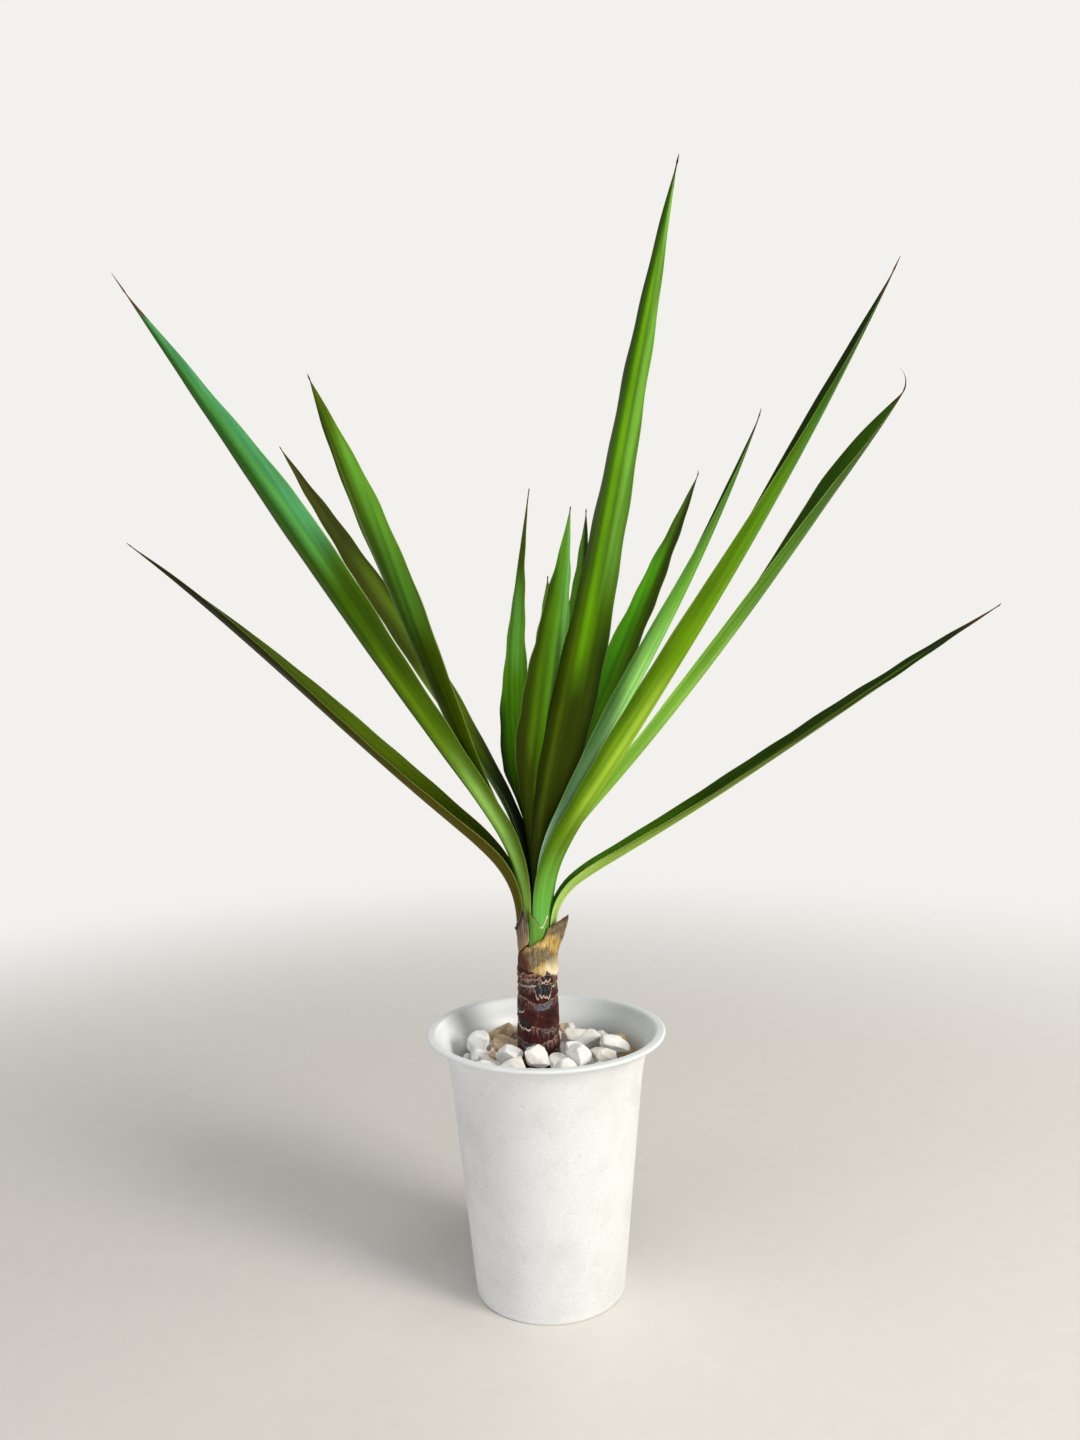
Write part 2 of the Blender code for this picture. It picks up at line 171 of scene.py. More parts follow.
def round_points(radius, angle, height, middle=0.0):
    """Points at these radii, angles and heights round an upright axis that stands at x = middle."""
    x, y = middle + radius * np.cos(angle), radius * np.sin(angle)
    return np.stack(np.broadcast_arrays(x, y, height), axis=-1)


def pot_outer_radius(height):
    flare = np.exp((height - (POT_HEIGHT - POT_LIP_THICKNESS)) / POT_FLARE_LENGTH)
    rings = np.clip(np.cos(math.tau * height / MOULD_RING_PITCH), 0.0, 1.0) * (height < MOULD_RING_TOP)
    return POT_BASE_RADIUS + POT_TAPER * height + POT_FLARE * flare - MOULD_RING_DEPTH * rings


def corner_cut(profile):
    """Round a profile's corners by cutting each one off at a quarter of its edges."""
    cut = [profile[0]]
    for (r0, h0), (r1, h1) in zip(profile, profile[1:]):
        cut.append((0.75 * r0 + 0.25 * r1, 0.75 * h0 + 0.25 * h1))
        cut.append((0.25 * r0 + 0.75 * r1, 0.25 * h0 + 0.75 * h1))
    return cut + [profile[-1]]


def moulded_white_polypropylene():
    """White polypropylene, moulded against a spark-eroded face: matt, sandy, faintly stained."""
    material, add = start_material("moulded_white_polypropylene")
    place = add("TexCoord", out="Object")
    smooth = add("Attribute", out="Fac", attribute_name="smooth")
    # Stains and flow marks run 15 to 60 mm; the sandy grain is 0.4 mm, drawn at 1.2 mm to show.
    stain = add("TexNoise", {"Vector": place, "Scale": 28.0, "Detail": 5.0, "Roughness": 0.62})
    grain = add("TexNoise", {"Vector": place, "Scale": 820.0, "Detail": 3.0, "Roughness": 0.7})
    specks = add("TexNoise", {"Vector": place, "Scale": 420.0, "Detail": 1.0})
    stained = add("MapRange", [stain, 0.45, 0.75, 0.0, 0.7])
    clean = add("Mix", {0: stained, 6: "#eff1f2", 7: "#dcdedd"}, **BLENDED)
    grey = add("MapRange", [grain, 0.36, 0.66, 0.92, 1.03])
    sandy = add("Mix", {0: 1.0, 6: clean, 7: grey}, **TINTED)
    dot = add("MapRange", [specks, 0.73, 0.78, 0.0, 0.5])
    dotted = add("Mix", {0: dot, 6: sandy, 7: "#a9a8a4"}, **BLENDED)
    # The smoother lip and inside are a cooler grey white; that tint is a painted cool reflection.
    colour = add("Mix", {0: smooth, 6: dotted, 7: "#e8ecee"}, **BLENDED)
    rough = add("MapRange", {0: smooth, 3: 0.62, 4: 0.36})
    depth = add("MapRange", {0: smooth, 3: 0.30, 4: 0.05})
    bump = add("Bump", {"Height": grain, "Strength": depth, "Distance": 0.0006})
    shader = add("BsdfPrincipled", {"Base Color": colour, "Roughness": rough, "IOR": 1.49, "Normal": bump})
    return finish_material(material, shader)


def build_pot():
    """Turn the outline; everything up to the lip's outer edge is the smoother side of the mould."""
    profile = POT_FLOOR + [(pot_outer_radius(height) - POT_WALL, height) for height in POT_INSIDE] + POT_LIP
    lip_end = len(profile)
    profile += [(pot_outer_radius(height), height) for height in POT_OUTSIDE + POT_RINGED] + POT_FOOT
    share = lip_end / len(profile)
    profile = np.array(corner_cut(profile))
    angles = np.linspace(0.0, math.tau, POT_STEPS, endpoint=False)
    rings = round_points(profile[:, :1], angles, profile[:, 1:])
    rows = np.arange(len(profile))[:, None] < share * len(profile)
    smooth = np.repeat(rows.astype(float), POT_STEPS, axis=1)
    return round_piece("pot_moulding", rings, {"smooth": smooth}, moulded_white_polypropylene())


pot = build_pot()
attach(pot, "root")
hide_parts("pot")


# --- Soil -----------------------------------------------------------------------------------------
# Peat compost, filled in loose and pressed by hand round the cane. Only dark crumbs of it show
# between the pebbles.

SOIL_TOP = 0.163
SOIL_FLOOR = 0.0048
SOIL_GAP = 0.0004             # between the soil and the pot
SOIL_HOLE_GAP = 0.0010        # and between the soil and the cane
SOIL_CRUMB = 0.0011           # height of the crumbs
SOIL_STEPS = 120
CANE_X = -0.0055
CANE_RADIUS = 0.0163
CANE_FOOT = 0.130


def loose_peat():
    """Peat: fibrous dark brown crumbs, matt and light-swallowing, with a few pale fibres."""
    material, add = start_material("loose_peat")
    place = add("TexCoord", out="Object")
    # Crumbs are 2 to 4 mm.
    crumbs = add("TexNoise", {"Vector": place, "Scale": 330.0, "Detail": 6.0, "Roughness": 0.7})
    colour = add("ValToRGB", [crumbs], {0.30: "#170f0a", 0.50: "#2f2016", 0.66: "#4b3626", 0.78: "#7a6248"})
    bump = add("Bump", {"Height": crumbs, "Strength": 0.8, "Distance": 0.0015})
    return finish_material(material, add("BsdfPrincipled", {
        "Base Color": colour, "Roughness": 0.95, "Normal": bump,
    }))


def fractal(places, octaves):
    """Fractal noise at each place."""
    return np.array([noise.fractal(Vector(place), 1.0, 2.0, octaves) for place in places])


def build_soil():
    angles = np.linspace(0.0, math.tau, SOIL_STEPS, endpoint=False)

    def ring(middle, radius, height, crumb=0.0):
        points = round_points(radius, angles, height, middle)
        points[:, 2] += crumb * fractal([Vector(point) * 320.0 for point in points], 3)
        return points

    hole = CANE_RADIUS + SOIL_HOLE_GAP
    edge = pot_outer_radius(SOIL_TOP) - POT_WALL - SOIL_GAP
    rings = [ring(CANE_X, hole, CANE_FOOT), ring(CANE_X, hole, SOIL_TOP - 0.004)]
    for share in np.linspace(0.0, 1.0, 26):
        middle, radius = CANE_X * (1.0 - share), hole + (edge - hole) * share
        rings.append(ring(middle, radius, SOIL_TOP - 0.0008, SOIL_CRUMB if share < 1.0 else 0.0))
    for height in (0.150, 0.10, 0.05, SOIL_FLOOR):
        rings.append(ring(0.0, pot_outer_radius(height) - POT_WALL - SOIL_GAP, height))
    rings.append(ring(0.0, 0.030, SOIL_FLOOR))
    return round_piece("peat_fill", np.array(rings), {}, loose_peat())


soil = build_soil()
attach(soil, "root")
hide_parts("soil")


# --- Cane -----------------------------------------------------------------------------------------
# One short yucca cane, a rooted cutting. Every shed leaf left a band of maroon bark with a torn tan
# edge, and where the leaf was attached a blackened scar with a toothed, pale lower border.

CANE_TOP_RADIUS = 0.0146
CANE_SHOULDER = 0.238
CROWN_FOOT = 0.262
CROWN_CORE_RADIUS = 0.01285
CROWN_CORE_SLOPE = 0.218
CROWN_TOP = 0.316
CANE_FOOT_CHAMFER = 0.0012
CANE_STEPS = 220
CANE_PITCH = 0.00032          # height of one row of the mesh where the bark shows
BARK_TOP = 0.2475             # the bark ends here and the crown's core goes on, hidden by the leaves
BAND_TOP = 0.2460             # the swelling of the highest band ends here
UNEVEN_TOP = 0.2470           # and the bark's unevenness here
CORE_FROM = 0.2500            # from here up, only the core is left
BARK_SHOULDER = 0.0031        # how far the bark stands off the core between the shoulder and its top
CORE_GAP = 0.0002             # between the core's packed size and this one
EDGE_STRAY = 1.3              # how far in mm a torn edge strays from its listed heights
EDGE_LIP = 0.0007             # how far a band's torn edge stands out
EDGE_LIP_WIDTH = 0.8          # in mm
EDGE_GROOVE = 0.0004          # how deep the groove under the edge is
EDGE_GROOVE_DROP = 1.8        # and how many mm under it
BAND_SWELL = 0.0005           # how much a band widens towards its foot, and over how many mm
BAND_SWELL_LENGTH = 9.0
SCAR_SINK = 0.0005
BARK_UNEVEN = 0.00035
NO_EDGE = 30.0                # stands for the distance to an edge, in mm, where there is none above
TOOTH_PITCH = 5.3             # half of the distance from tooth to tooth of a scar's border, in degrees
BARK_AZIMUTHS = (-90, 0, 60, 100, 180, 222, 252, 272, 296, 322, 345)
BARK_EDGES = (                # height of each band's torn upper edge, in mm, at those azimuths
    (244.0, 243.5, 245.0, 244.5, 244.0, 243.0, 243.2, 243.8, 244.5, 244.8, 244.2),
    (239.4, 241.0, 239.0, 238.0, 240.7, 239.0, 239.2, 240.5, 241.8, 241.6, 241.0),
    (235.8, 235.2, 232.0, 231.0, 234.6, 234.0, 234.4, 235.8, 236.1, 234.8, 236.0),
    (220.7, 226.5, 224.0, 222.0, 229.0, 225.6, 222.2, 220.8, 221.8, 223.6, 225.8),
    (203.0, 206.0, 212.0, 214.0, 209.0, 206.4, 204.0, 202.8, 201.6, 201.4, 203.4),
    (191.0, 198.6, 200.0, 197.0, 194.4, 192.6, 191.2, 190.6, 192.2, 194.6, 197.0),
    (181.0, 186.0, 188.0, 186.0, 183.0, 181.8, 181.0, 180.6, 181.6, 183.8, 185.6),
    (170.0, 174.0, 175.0, 174.0, 172.0, 171.0, 170.0, 170.0, 171.0, 172.0, 173.0),
)
Scar = namedtuple("Scar", "edge azimuth spread drop depth grey")
SCARS = (                     # edge above; azimuth, half width in degrees; start, depth in mm; greyness
    Scar(1, 296, 17, 0.3, 4.6, 0.0), Scar(1, 247, 30, 2.6, 2.4, 0.2), Scar(2, 289, 27, 0.2, 10.6, 0.0),
    Scar(2, 325, 9, 0.3, 2.6, 0.1), Scar(3, 292, 30, 0.4, 5.4, 1.0), Scar(3, 210, 17, 8.0, 4.6, 0.1),
    Scar(4, 221, 31, -1.0, 5.2, 0.0), Scar(4, 303, 27, 0.3, 2.6, 0.8), Scar(5, 250, 40, 0.8, 4.0, 0.7),
    Scar(1, 30, 26, 0.4, 4.0, 0.1), Scar(2, 100, 34, 0.3, 6.5, 0.0), Scar(3, 40, 38, 0.3, 8.0, 0.1),
    Scar(3, 130, 24, 1.0, 4.5, 0.8), Scar(4, 85, 30, 0.4, 8.0, 0.0), Scar(4, 150, 20, 0.4, 4.0, 0.5),
    Scar(5, 30, 34, 0.4, 7.0, 0.2), Scar(5, 120, 30, 0.4, 5.0, 0.9), Scar(6, 300, 40, 0.4, 5.0, 0.3),
)


def scarred_bark():
    """Yucca bark: dull maroon, with fine upright fibres, torn tan edges and sooty leaf scars."""
    material, add = start_material("scarred_yucca_bark")
    place = add("TexCoord", out="Object")
    below, scar, rim, grey = [
        add("Attribute", out="Fac", attribute_name=field) for field in ("below", "scar", "rim", "grey")
    ]
    # Fibres stand 0.5 mm apart, drawn at 1.3 mm; blotches are 5 mm; the torn edges break up at 1.4 mm.
    upright = add("Mapping", {"Vector": place, "Scale": (1.0, 1.0, 0.12)})
    fibre = add("TexNoise", {"Vector": upright, "Scale": 760.0, "Detail": 3.0, "Roughness": 0.6})
    blotch = add("TexNoise", {"Vector": place, "Scale": 200.0, "Detail": 5.0, "Roughness": 0.65})
    torn = add("TexNoise", {"Vector": place, "Scale": 700.0, "Detail": 3.0, "Roughness": 0.7})
    maroon = add("ValToRGB", [blotch], {0.30: "#180806", 0.44: "#30100e", 0.56: "#481b18", 0.70: "#6a3a32"})
    streak = add("MapRange", [fibre, 0.35, 0.68, 0.60, 1.35])
    bark = add("Mix", {0: 1.0, 6: maroon, 7: streak}, **TINTED)
    # Under its torn edge each band has 3 mm of painted shade, and pinkish fibres hang over that from the
    # edge.
    shade = add("MapRange", [below, 0.8, 3.2, 0.75, 0.0])
    bark = add("Mix", {0: shade, 6: bark, 7: "#180a08"}, **BLENDED)
    loose = add("MapRange", [fibre, 0.46, 0.58, 0.0, 0.95])
    hanging = add("MapRange", [below, 0.8, 7.0, 0.9, 0.0])
    hanging = add("Math", [hanging, loose], operation="MULTIPLY")
    bark = add("Mix", {0: hanging, 6: bark, 7: "#a88474"}, **BLENDED)
    # The edge itself is a tan line, 0.5 to 2 mm wide and worn away in places.
    ragged = add("Math", [torn, 2.6, -1.3], operation="MULTIPLY_ADD")
    line = add("Math", [below, ragged], operation="ADD")
    line = add("MapRange", [line, 0.55, 1.85, 1.0, 0.0])
    worn = add("MapRange", [blotch, 0.36, 0.52, 0.35, 1.0])
    line = add("Math", [line, worn], operation="MULTIPLY")
    tan = add("ValToRGB", [fibre], {0.35: "#7a5c50", 0.62: "#c0a490"})
    bark = add("Mix", {0: line, 6: bark, 7: tan}, **BLENDED)
    # A scar is black with grey fibres inside; where the skin tore off below it, its border is pale.
    toothed = add("Math", [torn, 1.6, -0.8], operation="MULTIPLY_ADD")
    inside = add("Math", [scar, toothed], operation="ADD")
    soot = add("MapRange", [inside, -0.1, 0.25, 0.0, 1.0])
    pale = add("ValToRGB", [torn], {0.35: "#a68a78", 0.60: "#e0cdb9"})
    black = add("ValToRGB", [fibre], {0.36: "#101314", 0.54: "#262b2d", 0.72: "#6b7276"})
    ash = add("ValToRGB", [torn], {0.34: "#23262b", 0.50: "#596069", 0.68: "#8f8f92"})
    filling = add("Mix", {0: grey, 6: black, 7: ash}, **BLENDED)
    bark = add("Mix", {0: soot, 6: bark, 7: filling}, **BLENDED)
    border = add("Math", [toothed, 0.45, rim], operation="MULTIPLY_ADD")
    border = add("MapRange", [border, 0.35, 0.62, 0.0, 1.0])
    bark = add("Mix", {0: border, 6: bark, 7: pale}, **BLENDED)
    relief = add("Math", [fibre, torn], operation="ADD")
    bump = add("Bump", {"Height": relief, "Strength": 0.7, "Distance": 0.0008})
    rough = add("MapRange", {0: blotch, 3: 0.5, 4: 0.75})
    return finish_material(material, add("BsdfPrincipled", {
        "Base Color": bark, "Roughness": rough, "Specular IOR Level": 0.18, "Normal": bump,
    }))


def smoothstep(value):
    value = np.clip(value, 0.0, 1.0)
    return value * value * (3.0 - 2.0 * value)


def around(azimuths, values, azimuth):
    """Read values listed at some azimuths at any azimuth, joined up round the circle."""
    return np.interp(azimuth % 360.0, np.asarray(azimuths) % 360.0, values, period=360.0)


def crown_core_radius(height):
    return CROWN_CORE_RADIUS - CROWN_CORE_SLOPE * (height - CROWN_FOOT)


def winding(azimuth, scale, levels, octaves):
    """Uneven values round the cane, one row for each level."""
    circle = [(math.cos(turn) * scale, math.sin(turn) * scale) for turn in np.radians(azimuth)]
    return np.array([fractal([(x, y, level) for x, y in circle], octaves) for level in levels])


def scar_fields(azimuth, heights, edges):
    """How far in mm each point lies inside a scar, how much it is on a torn border, and how grey it is."""
    grid_z, grid_az = np.meshgrid(heights, azimuth, indexing="ij")
    deepest = np.full_like(grid_z, -9.0)
    rim = np.zeros_like(grid_z)
    grey = np.zeros_like(grid_z)
    ragged = winding(azimuth, 7.0, 4.0 + 90.0 * heights, 4)
    stray = np.array([noise.noise(Vector((a * 0.05, 4.0, 0.0))) for a in azimuth])
    fangs = np.abs((azimuth / TOOTH_PITCH + 0.8 * stray) % 2.0 - 1.0)
    teeth = 0.8 * fangs[None, :] + 0.7 * ragged
    for scar in SCARS:
        away = (grid_az - scar.azimuth + 180.0) % 360.0 - 180.0
        drop = edges[scar.edge][None, :] - grid_z * 1000.0 - scar.drop
        sink = np.clip(drop / scar.depth, 0.0, 1.0)
        spread = scar.spread * (1.0 - 0.38 * sink**2) - np.abs(away + 0.15 * scar.spread * sink)
        across = spread * math.radians(1.0) * CANE_RADIUS * 1000.0 + 1.4 * ragged
        foot = scar.depth * (1.0 - 0.40 * teeth * min(1.0, 3.0 / scar.depth + 0.3)) - drop
        inside = np.minimum(np.minimum(across, drop), foot)
        grey = np.where(inside > deepest, scar.grey, grey)
        deepest = np.maximum(deepest, inside)
        border = np.exp(-(((np.minimum(across, foot) + 0.35) / (0.42 + 0.3 * sink)) ** 2))
        border *= smoothstep(drop / 0.8 + 0.4) * (1.0 - 0.75 * scar.grey)
        rim = np.maximum(rim, border * (0.45 + 0.55 * sink + 0.5 * ragged))
    return deepest, rim, grey


def build_cane():
    """The cane from its foot in the soil to the top of the core; bands, edges and scars in relief."""
    azimuth = np.linspace(0.0, 360.0, CANE_STEPS, endpoint=False)
    buried = [CANE_FOOT, CANE_FOOT + 0.0006, CANE_FOOT + 0.012, SOIL_TOP - 0.008]
    shown = np.arange(SOIL_TOP - 0.006, BARK_TOP, CANE_PITCH)
    heights = np.concatenate([buried, shown, np.linspace(0.2480, CROWN_TOP, 24)])
    grid_z, grid_az = np.meshgrid(heights, azimuth, indexing="ij")
    rise = np.clip((grid_z - SOIL_TOP) / (CANE_SHOULDER - SOIL_TOP), 0.0, 1.0)
    radius = CANE_RADIUS + (CANE_TOP_RADIUS - CANE_RADIUS) * rise
    core = crown_core_radius(grid_z)
    radius = np.where(grid_z > CANE_SHOULDER, np.minimum(radius, core + BARK_SHOULDER), radius)
    radius = np.where(grid_z > CORE_FROM, np.minimum(radius, core - CORE_GAP), radius)
    radius[0] -= CANE_FOOT_CHAMFER
    wobble = winding(azimuth, 3.1, range(len(BARK_EDGES)), 5)
    edges = np.array([around(BARK_AZIMUTHS, row, azimuth) for row in BARK_EDGES]) + EDGE_STRAY * wobble
    below = np.full_like(grid_z, NO_EDGE)
    for edge in edges:
        drop = edge[None, :] - grid_z * 1000.0
        below = np.where(drop >= -0.35, np.minimum(below, np.abs(drop)), below)
    lip = EDGE_LIP * np.exp(-(below / EDGE_LIP_WIDTH) ** 2)
    lip -= EDGE_GROOVE * np.exp(-(below - EDGE_GROOVE_DROP) ** 2)
    radius += np.where(below < NO_EDGE, lip, 0.0)
    radius += BAND_SWELL * np.clip(below / BAND_SWELL_LENGTH, 0.0, 1.0) * (grid_z < BAND_TOP)
    inside, rim, grey = scar_fields(azimuth, heights, edges)
    radius -= SCAR_SINK * np.clip(inside / 0.8, 0.0, 1.0)
    radius += BARK_UNEVEN * winding(azimuth, 2.4, heights * 150.0, 3) * (grid_z < UNEVEN_TOP)
    fields = {"below": below, "scar": inside, "rim": rim, "grey": grey}
    rings = round_points(radius, np.radians(grid_az), grid_z, CANE_X)
    return round_piece("cane_bark", rings, fields, scarred_bark())


cane = build_cane()
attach(cane, "root")
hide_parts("cane")


# --- Old leaf bases -------------------------------------------------------------------------------
# What is left of cut and shed leaves, clasping the top of the cane: a dry straw cup torn to a point
# at the right, a brown husk curled at its top on the left, and a cut base that is still green.

SHEATH_RADIUS = 0.0150
SHEATH_THICKNESS = 0.0008
CUP_LIFT = 0.0003             # the torn foot stands off the bark by this much
CUP_POINT_AZIMUTH = 334.0
CUP_POINT_SPREAD = 15.0
CUP_POINT_REACH = 0.0115
HUSK_LEAN = 0.0012            # how far the husk leans out, and then curls out at its top
HUSK_CURL = 0.0014
LAYER_RADIUS = 0.0027         # inside of the innermost leaves' feet, and how much wider each layer is
LAYER_PITCH = 0.00175
GREEN_LAYER = 6

# The foot and the head of each base, as (azimuth, height).
CUP_FOOT = (
    (212, 0.2480), (250, 0.2450), (290, 0.2420), (296, 0.2452), (312, 0.2425), (340, 0.2400), (385, 0.2460),
)
CUP_HEAD = (
    (212, 0.2580), (243, 0.2640), (286, 0.2690), (310, 0.2780), (334, 0.2870), (352, 0.2700), (385, 0.2560),
)
HUSK_FOOT = ((204, 0.2590), (212, 0.2595), (243, 0.2652), (248, 0.2680))
HUSK_HEAD = ((204, 0.2770), (218, 0.2820), (236, 0.2930), (248, 0.2860))
GREEN_FOOT = ((246, 0.2635), (280, 0.2625), (312, 0.2635))
GREEN_HEAD = ((246, 0.2900), (262, 0.2860), (288, 0.2780), (312, 0.2860))


def sheet_piece(name, middle, outward, thickness, fields, material):
    """A thin closed sheet: a skin on each side of a grid of middle points, joined all round.

    A field is one grid of values for both skins, or a pair: the outer skin's grid and the inner's.
    """
    rows, columns = middle.shape[:2]
    offset = outward * (thickness / 2.0)[..., None]
    points = np.concatenate([middle + offset, (middle - offset)[:, ::-1]], axis=1)
    both = {}
    for field, values in fields.items():
        outer, inner = values if isinstance(values, tuple) else (values, values)
        both[field] = np.concatenate([outer, inner[:, ::-1]], axis=1)
    faces = ring_faces(rows, 2 * columns)
    for start in (0, (rows - 1) * 2 * columns):
        end = start + 2 * columns - 1
        faces += [(start + i, start + i + 1, end - i - 1, end - i) for i in range(columns - 1)]
    return make_piece(name, points, faces, both, material)


def eased(points, position):
    """Read a smooth value from (position, value) points at an array of positions."""
    result = np.full_like(position, points[-1][1])
    for (start, low), (end, high) in reversed(list(zip(points, points[1:]))):
        value = low + (high - low) * smoothstep((position - start) / (end - start))
        result = np.where(position <= end, value, result)
    return result


def wrapped_sheet(name, foot, head, radius, columns, rows, torn, crease, material):
    """A sheet bent round the cane, torn at its foot and head by some metres and creased lengthwise."""
    azimuth = np.linspace(foot[0][0], foot[-1][0], columns)
    share = np.linspace(0.0, 1.0, rows)
    low = eased(foot, azimuth) + torn[0] * fractal([(a * 0.35, 1.5, 0.0) for a in azimuth], 4)
    high = eased(head, azimuth) + torn[1] * fractal([(a * 0.35, 7.5, 0.0) for a in azimuth], 4)
    grid_share, grid_az = np.meshgrid(share, azimuth, indexing="ij")
    height = low + (high - low) * grid_share
    fold = np.array([fractal([(a * 0.14, s * 1.1, 3.0) for a in azimuth], 3) for s in share])
    reach = radius(grid_share, grid_az) + crease * fold
    middle = round_points(reach, np.radians(grid_az), height, CANE_X)
    outward = np.cross(np.gradient(middle, axis=1), np.gradient(middle, axis=0))
    outward /= np.linalg.norm(outward, axis=2, keepdims=True)
    thickness = SHEATH_THICKNESS * (1.0 - 0.5 * smoothstep((grid_share - 0.8) / 0.2))
    fields = {"share": grid_share, "azimuth": grid_az / 60.0, "level": height}
    return sheet_piece(name, middle, outward, thickness, fields, material)


def dried_leaf_straw():
    """A dried leaf base: gold and straw with grey rot, fibres running up it, a charred point."""
    material, add = start_material("dried_leaf_straw")
    share, azimuth, level = [
        add("Attribute", out="Fac", attribute_name=field) for field in ("share", "azimuth", "level")
    ]
    place = add("TexCoord", out="Object")
    # Fibres are 0.6 mm apart; the rot patches are 5 to 8 mm, mostly in a band low down and near the top.
    run = add("CombineXYZ", [azimuth, level])
    fibres = add("Mapping", {"Vector": run, "Scale": (26.0, 160.0, 1.0)})
    fibre = add("TexNoise", {"Vector": fibres, "Scale": 1.0, "Detail": 4.0, "Roughness": 0.65})
    rot = add("TexNoise", {"Vector": place, "Scale": 105.0, "Detail": 3.0, "Roughness": 0.55})
    straw = add("ValToRGB", [fibre], {0.28: "#6e4a26", 0.42: "#a88444", 0.54: "#cdae64", 0.70: "#f0dea8"})
    rotten = add("ValToRGB", [fibre], {0.32: "#40392c", 0.50: "#6e6650", 0.66: "#a0926e"})
    height = add("MapRange", [level, 0.246, 0.284])
    damp = add("ValToRGB", [height], {
        0.0: "#000000", 0.12: "#ffffff", 0.28: "#ffffff",
        0.40: "#000000", 0.56: "#000000", 0.72: "#ffffff",
    })
    rot = add("Math", [damp, 0.20, rot], operation="MULTIPLY_ADD")
    patch = add("MapRange", [rot, 0.54, 0.66, 0.0, 0.9])
    colour = add("Mix", {0: patch, 6: straw, 7: rotten}, **BLENDED)
    # The torn foot is bleached cream at the right; the left end and the point are dark.
    frayed = add("MapRange", [share, 0.06, 0.34, 1.0, 0.0])
    right = add("MapRange", [azimuth, 4.70, 5.00, 0.05, 1.0])
    cream = add("Math", [frayed, right], operation="MULTIPLY")
    colour = add("Mix", {0: cream, 6: colour, 7: "#f1e2bb"}, **BLENDED)
    rising = add("Math", [share, 0.40, azimuth], operation="MULTIPLY_ADD")
    rising = add("Math", [fibre, -0.5, rising], operation="MULTIPLY_ADD")
    left = add("MapRange", [rising, 3.80, 4.15, 0.92, 0.0])
    colour = add("Mix", {0: left, 6: colour, 7: "#54280f"}, **BLENDED)
    char = add("MapRange", [level, 0.2815, 0.2860, 0.0, 0.9])
    colour = add("Mix", {0: char, 6: colour, 7: "#3b3027"}, **BLENDED)
    rimmed = add("MapRange", [share, 0.90, 1.0, 0.0, 0.75])
    colour = add("Mix", {0: rimmed, 6: colour, 7: "#5b3a1d"}, **BLENDED)
    bump = add("Bump", {"Height": fibre, "Strength": 0.6, "Distance": 0.0006})
    return finish_material(material, add("BsdfPrincipled", {
        "Base Color": colour, "Roughness": 0.62, "Specular IOR Level": 0.2, "Normal": bump,
    }))


def dried_leaf_husk():
    """A husk: older, brown and papery, with fibres along it and a dark curled top."""
    material, add = start_material("dried_leaf_husk")
    share, azimuth, level = [
        add("Attribute", out="Fac", attribute_name=field) for field in ("share", "azimuth", "level")
    ]
    # Fibres are 0.5 mm apart and run the whole height.
    run = add("CombineXYZ", [azimuth, level])
    fibres = add("Mapping", {"Vector": run, "Scale": (34.0, 70.0, 1.0)})
    fibre = add("TexNoise", {"Vector": fibres, "Scale": 1.0, "Detail": 4.0, "Roughness": 0.6})
    colour = add("ValToRGB", [fibre], {0.28: "#33231a", 0.44: "#62503f", 0.56: "#86735c", 0.72: "#b5a283"})
    top = add("MapRange", [share, 0.70, 0.90, 0.0, 0.92])
    colour = add("Mix", {0: top, 6: colour, 7: "#2a160d"}, **BLENDED)
    lip = add("MapRange", [share, 0.955, 0.985, 0.0, 0.6])
    colour = add("Mix", {0: lip, 6: colour, 7: "#9c8263"}, **BLENDED)
    pale = add("MapRange", [share, 0.06, 0.42, 1.0, 0.0])
    right = add("MapRange", [azimuth, 3.72, 3.98, 0.2, 0.85])
    pale = add("Math", [pale, right], operation="MULTIPLY")
    colour = add("Mix", {0: pale, 6: colour, 7: "#c9a877"}, **BLENDED)
    bump = add("Bump", {"Height": fibre, "Strength": 0.7, "Distance": 0.0007})
    return finish_material(material, add("BsdfPrincipled", {
        "Base Color": colour, "Roughness": 0.72, "Normal": bump,
    }))


def cut_green_base():
    """A cut leaf base, still alive: bright waxy green with a thin dry edge, brown and then white."""
    material, add = start_material("cut_green_leaf_base")
    share, azimuth, level = [
        add("Attribute", out="Fac", attribute_name=field) for field in ("share", "azimuth", "level")
    ]
    run = add("CombineXYZ", [azimuth, level])
    # Veins are 0.8 mm apart.
    veins = add("Mapping", {"Vector": run, "Scale": (20.0, 30.0, 1.0)})
    vein = add("TexNoise", {"Vector": veins, "Scale": 1.0, "Detail": 3.0})
    colour = add("ValToRGB", [vein], {0.32: "#3c7a06", 0.50: "#529216", 0.68: "#70ac36"})
    # Its edge has dried to a brown line on the left half and is white and papery on the right.
    right = add("MapRange", [azimuth, 4.66, 4.78, 0.0, 1.0])
    olive = add("MapRange", [share, 0.82, 0.93, 0.0, 0.75])
    colour = add("Mix", {0: olive, 6: colour, 7: "#7c8420"}, **BLENDED)
    paper = add("MapRange", [share, 0.93, 0.965, 0.0, 1.0])
    edge = add("Mix", {0: right, 6: "#5c4a1a", 7: "#e6ebcf"}, **BLENDED)
    colour = add("Mix", {0: paper, 6: colour, 7: edge}, **BLENDED)
    bump = add("Bump", {"Height": vein, "Strength": 0.2, "Distance": 0.0004})
    return finish_material(material, add("BsdfPrincipled", {
        "Base Color": colour, "Roughness": 0.38, "Normal": bump,
    }))


def cup_radius(share, azimuth):
    lift = CUP_LIFT * (1.0 - smoothstep(share * 3.0))
    point = np.exp(-((azimuth - CUP_POINT_AZIMUTH) / CUP_POINT_SPREAD) ** 2)
    return SHEATH_RADIUS + lift + CUP_POINT_REACH * point * smoothstep((share - 0.35) / 0.65)


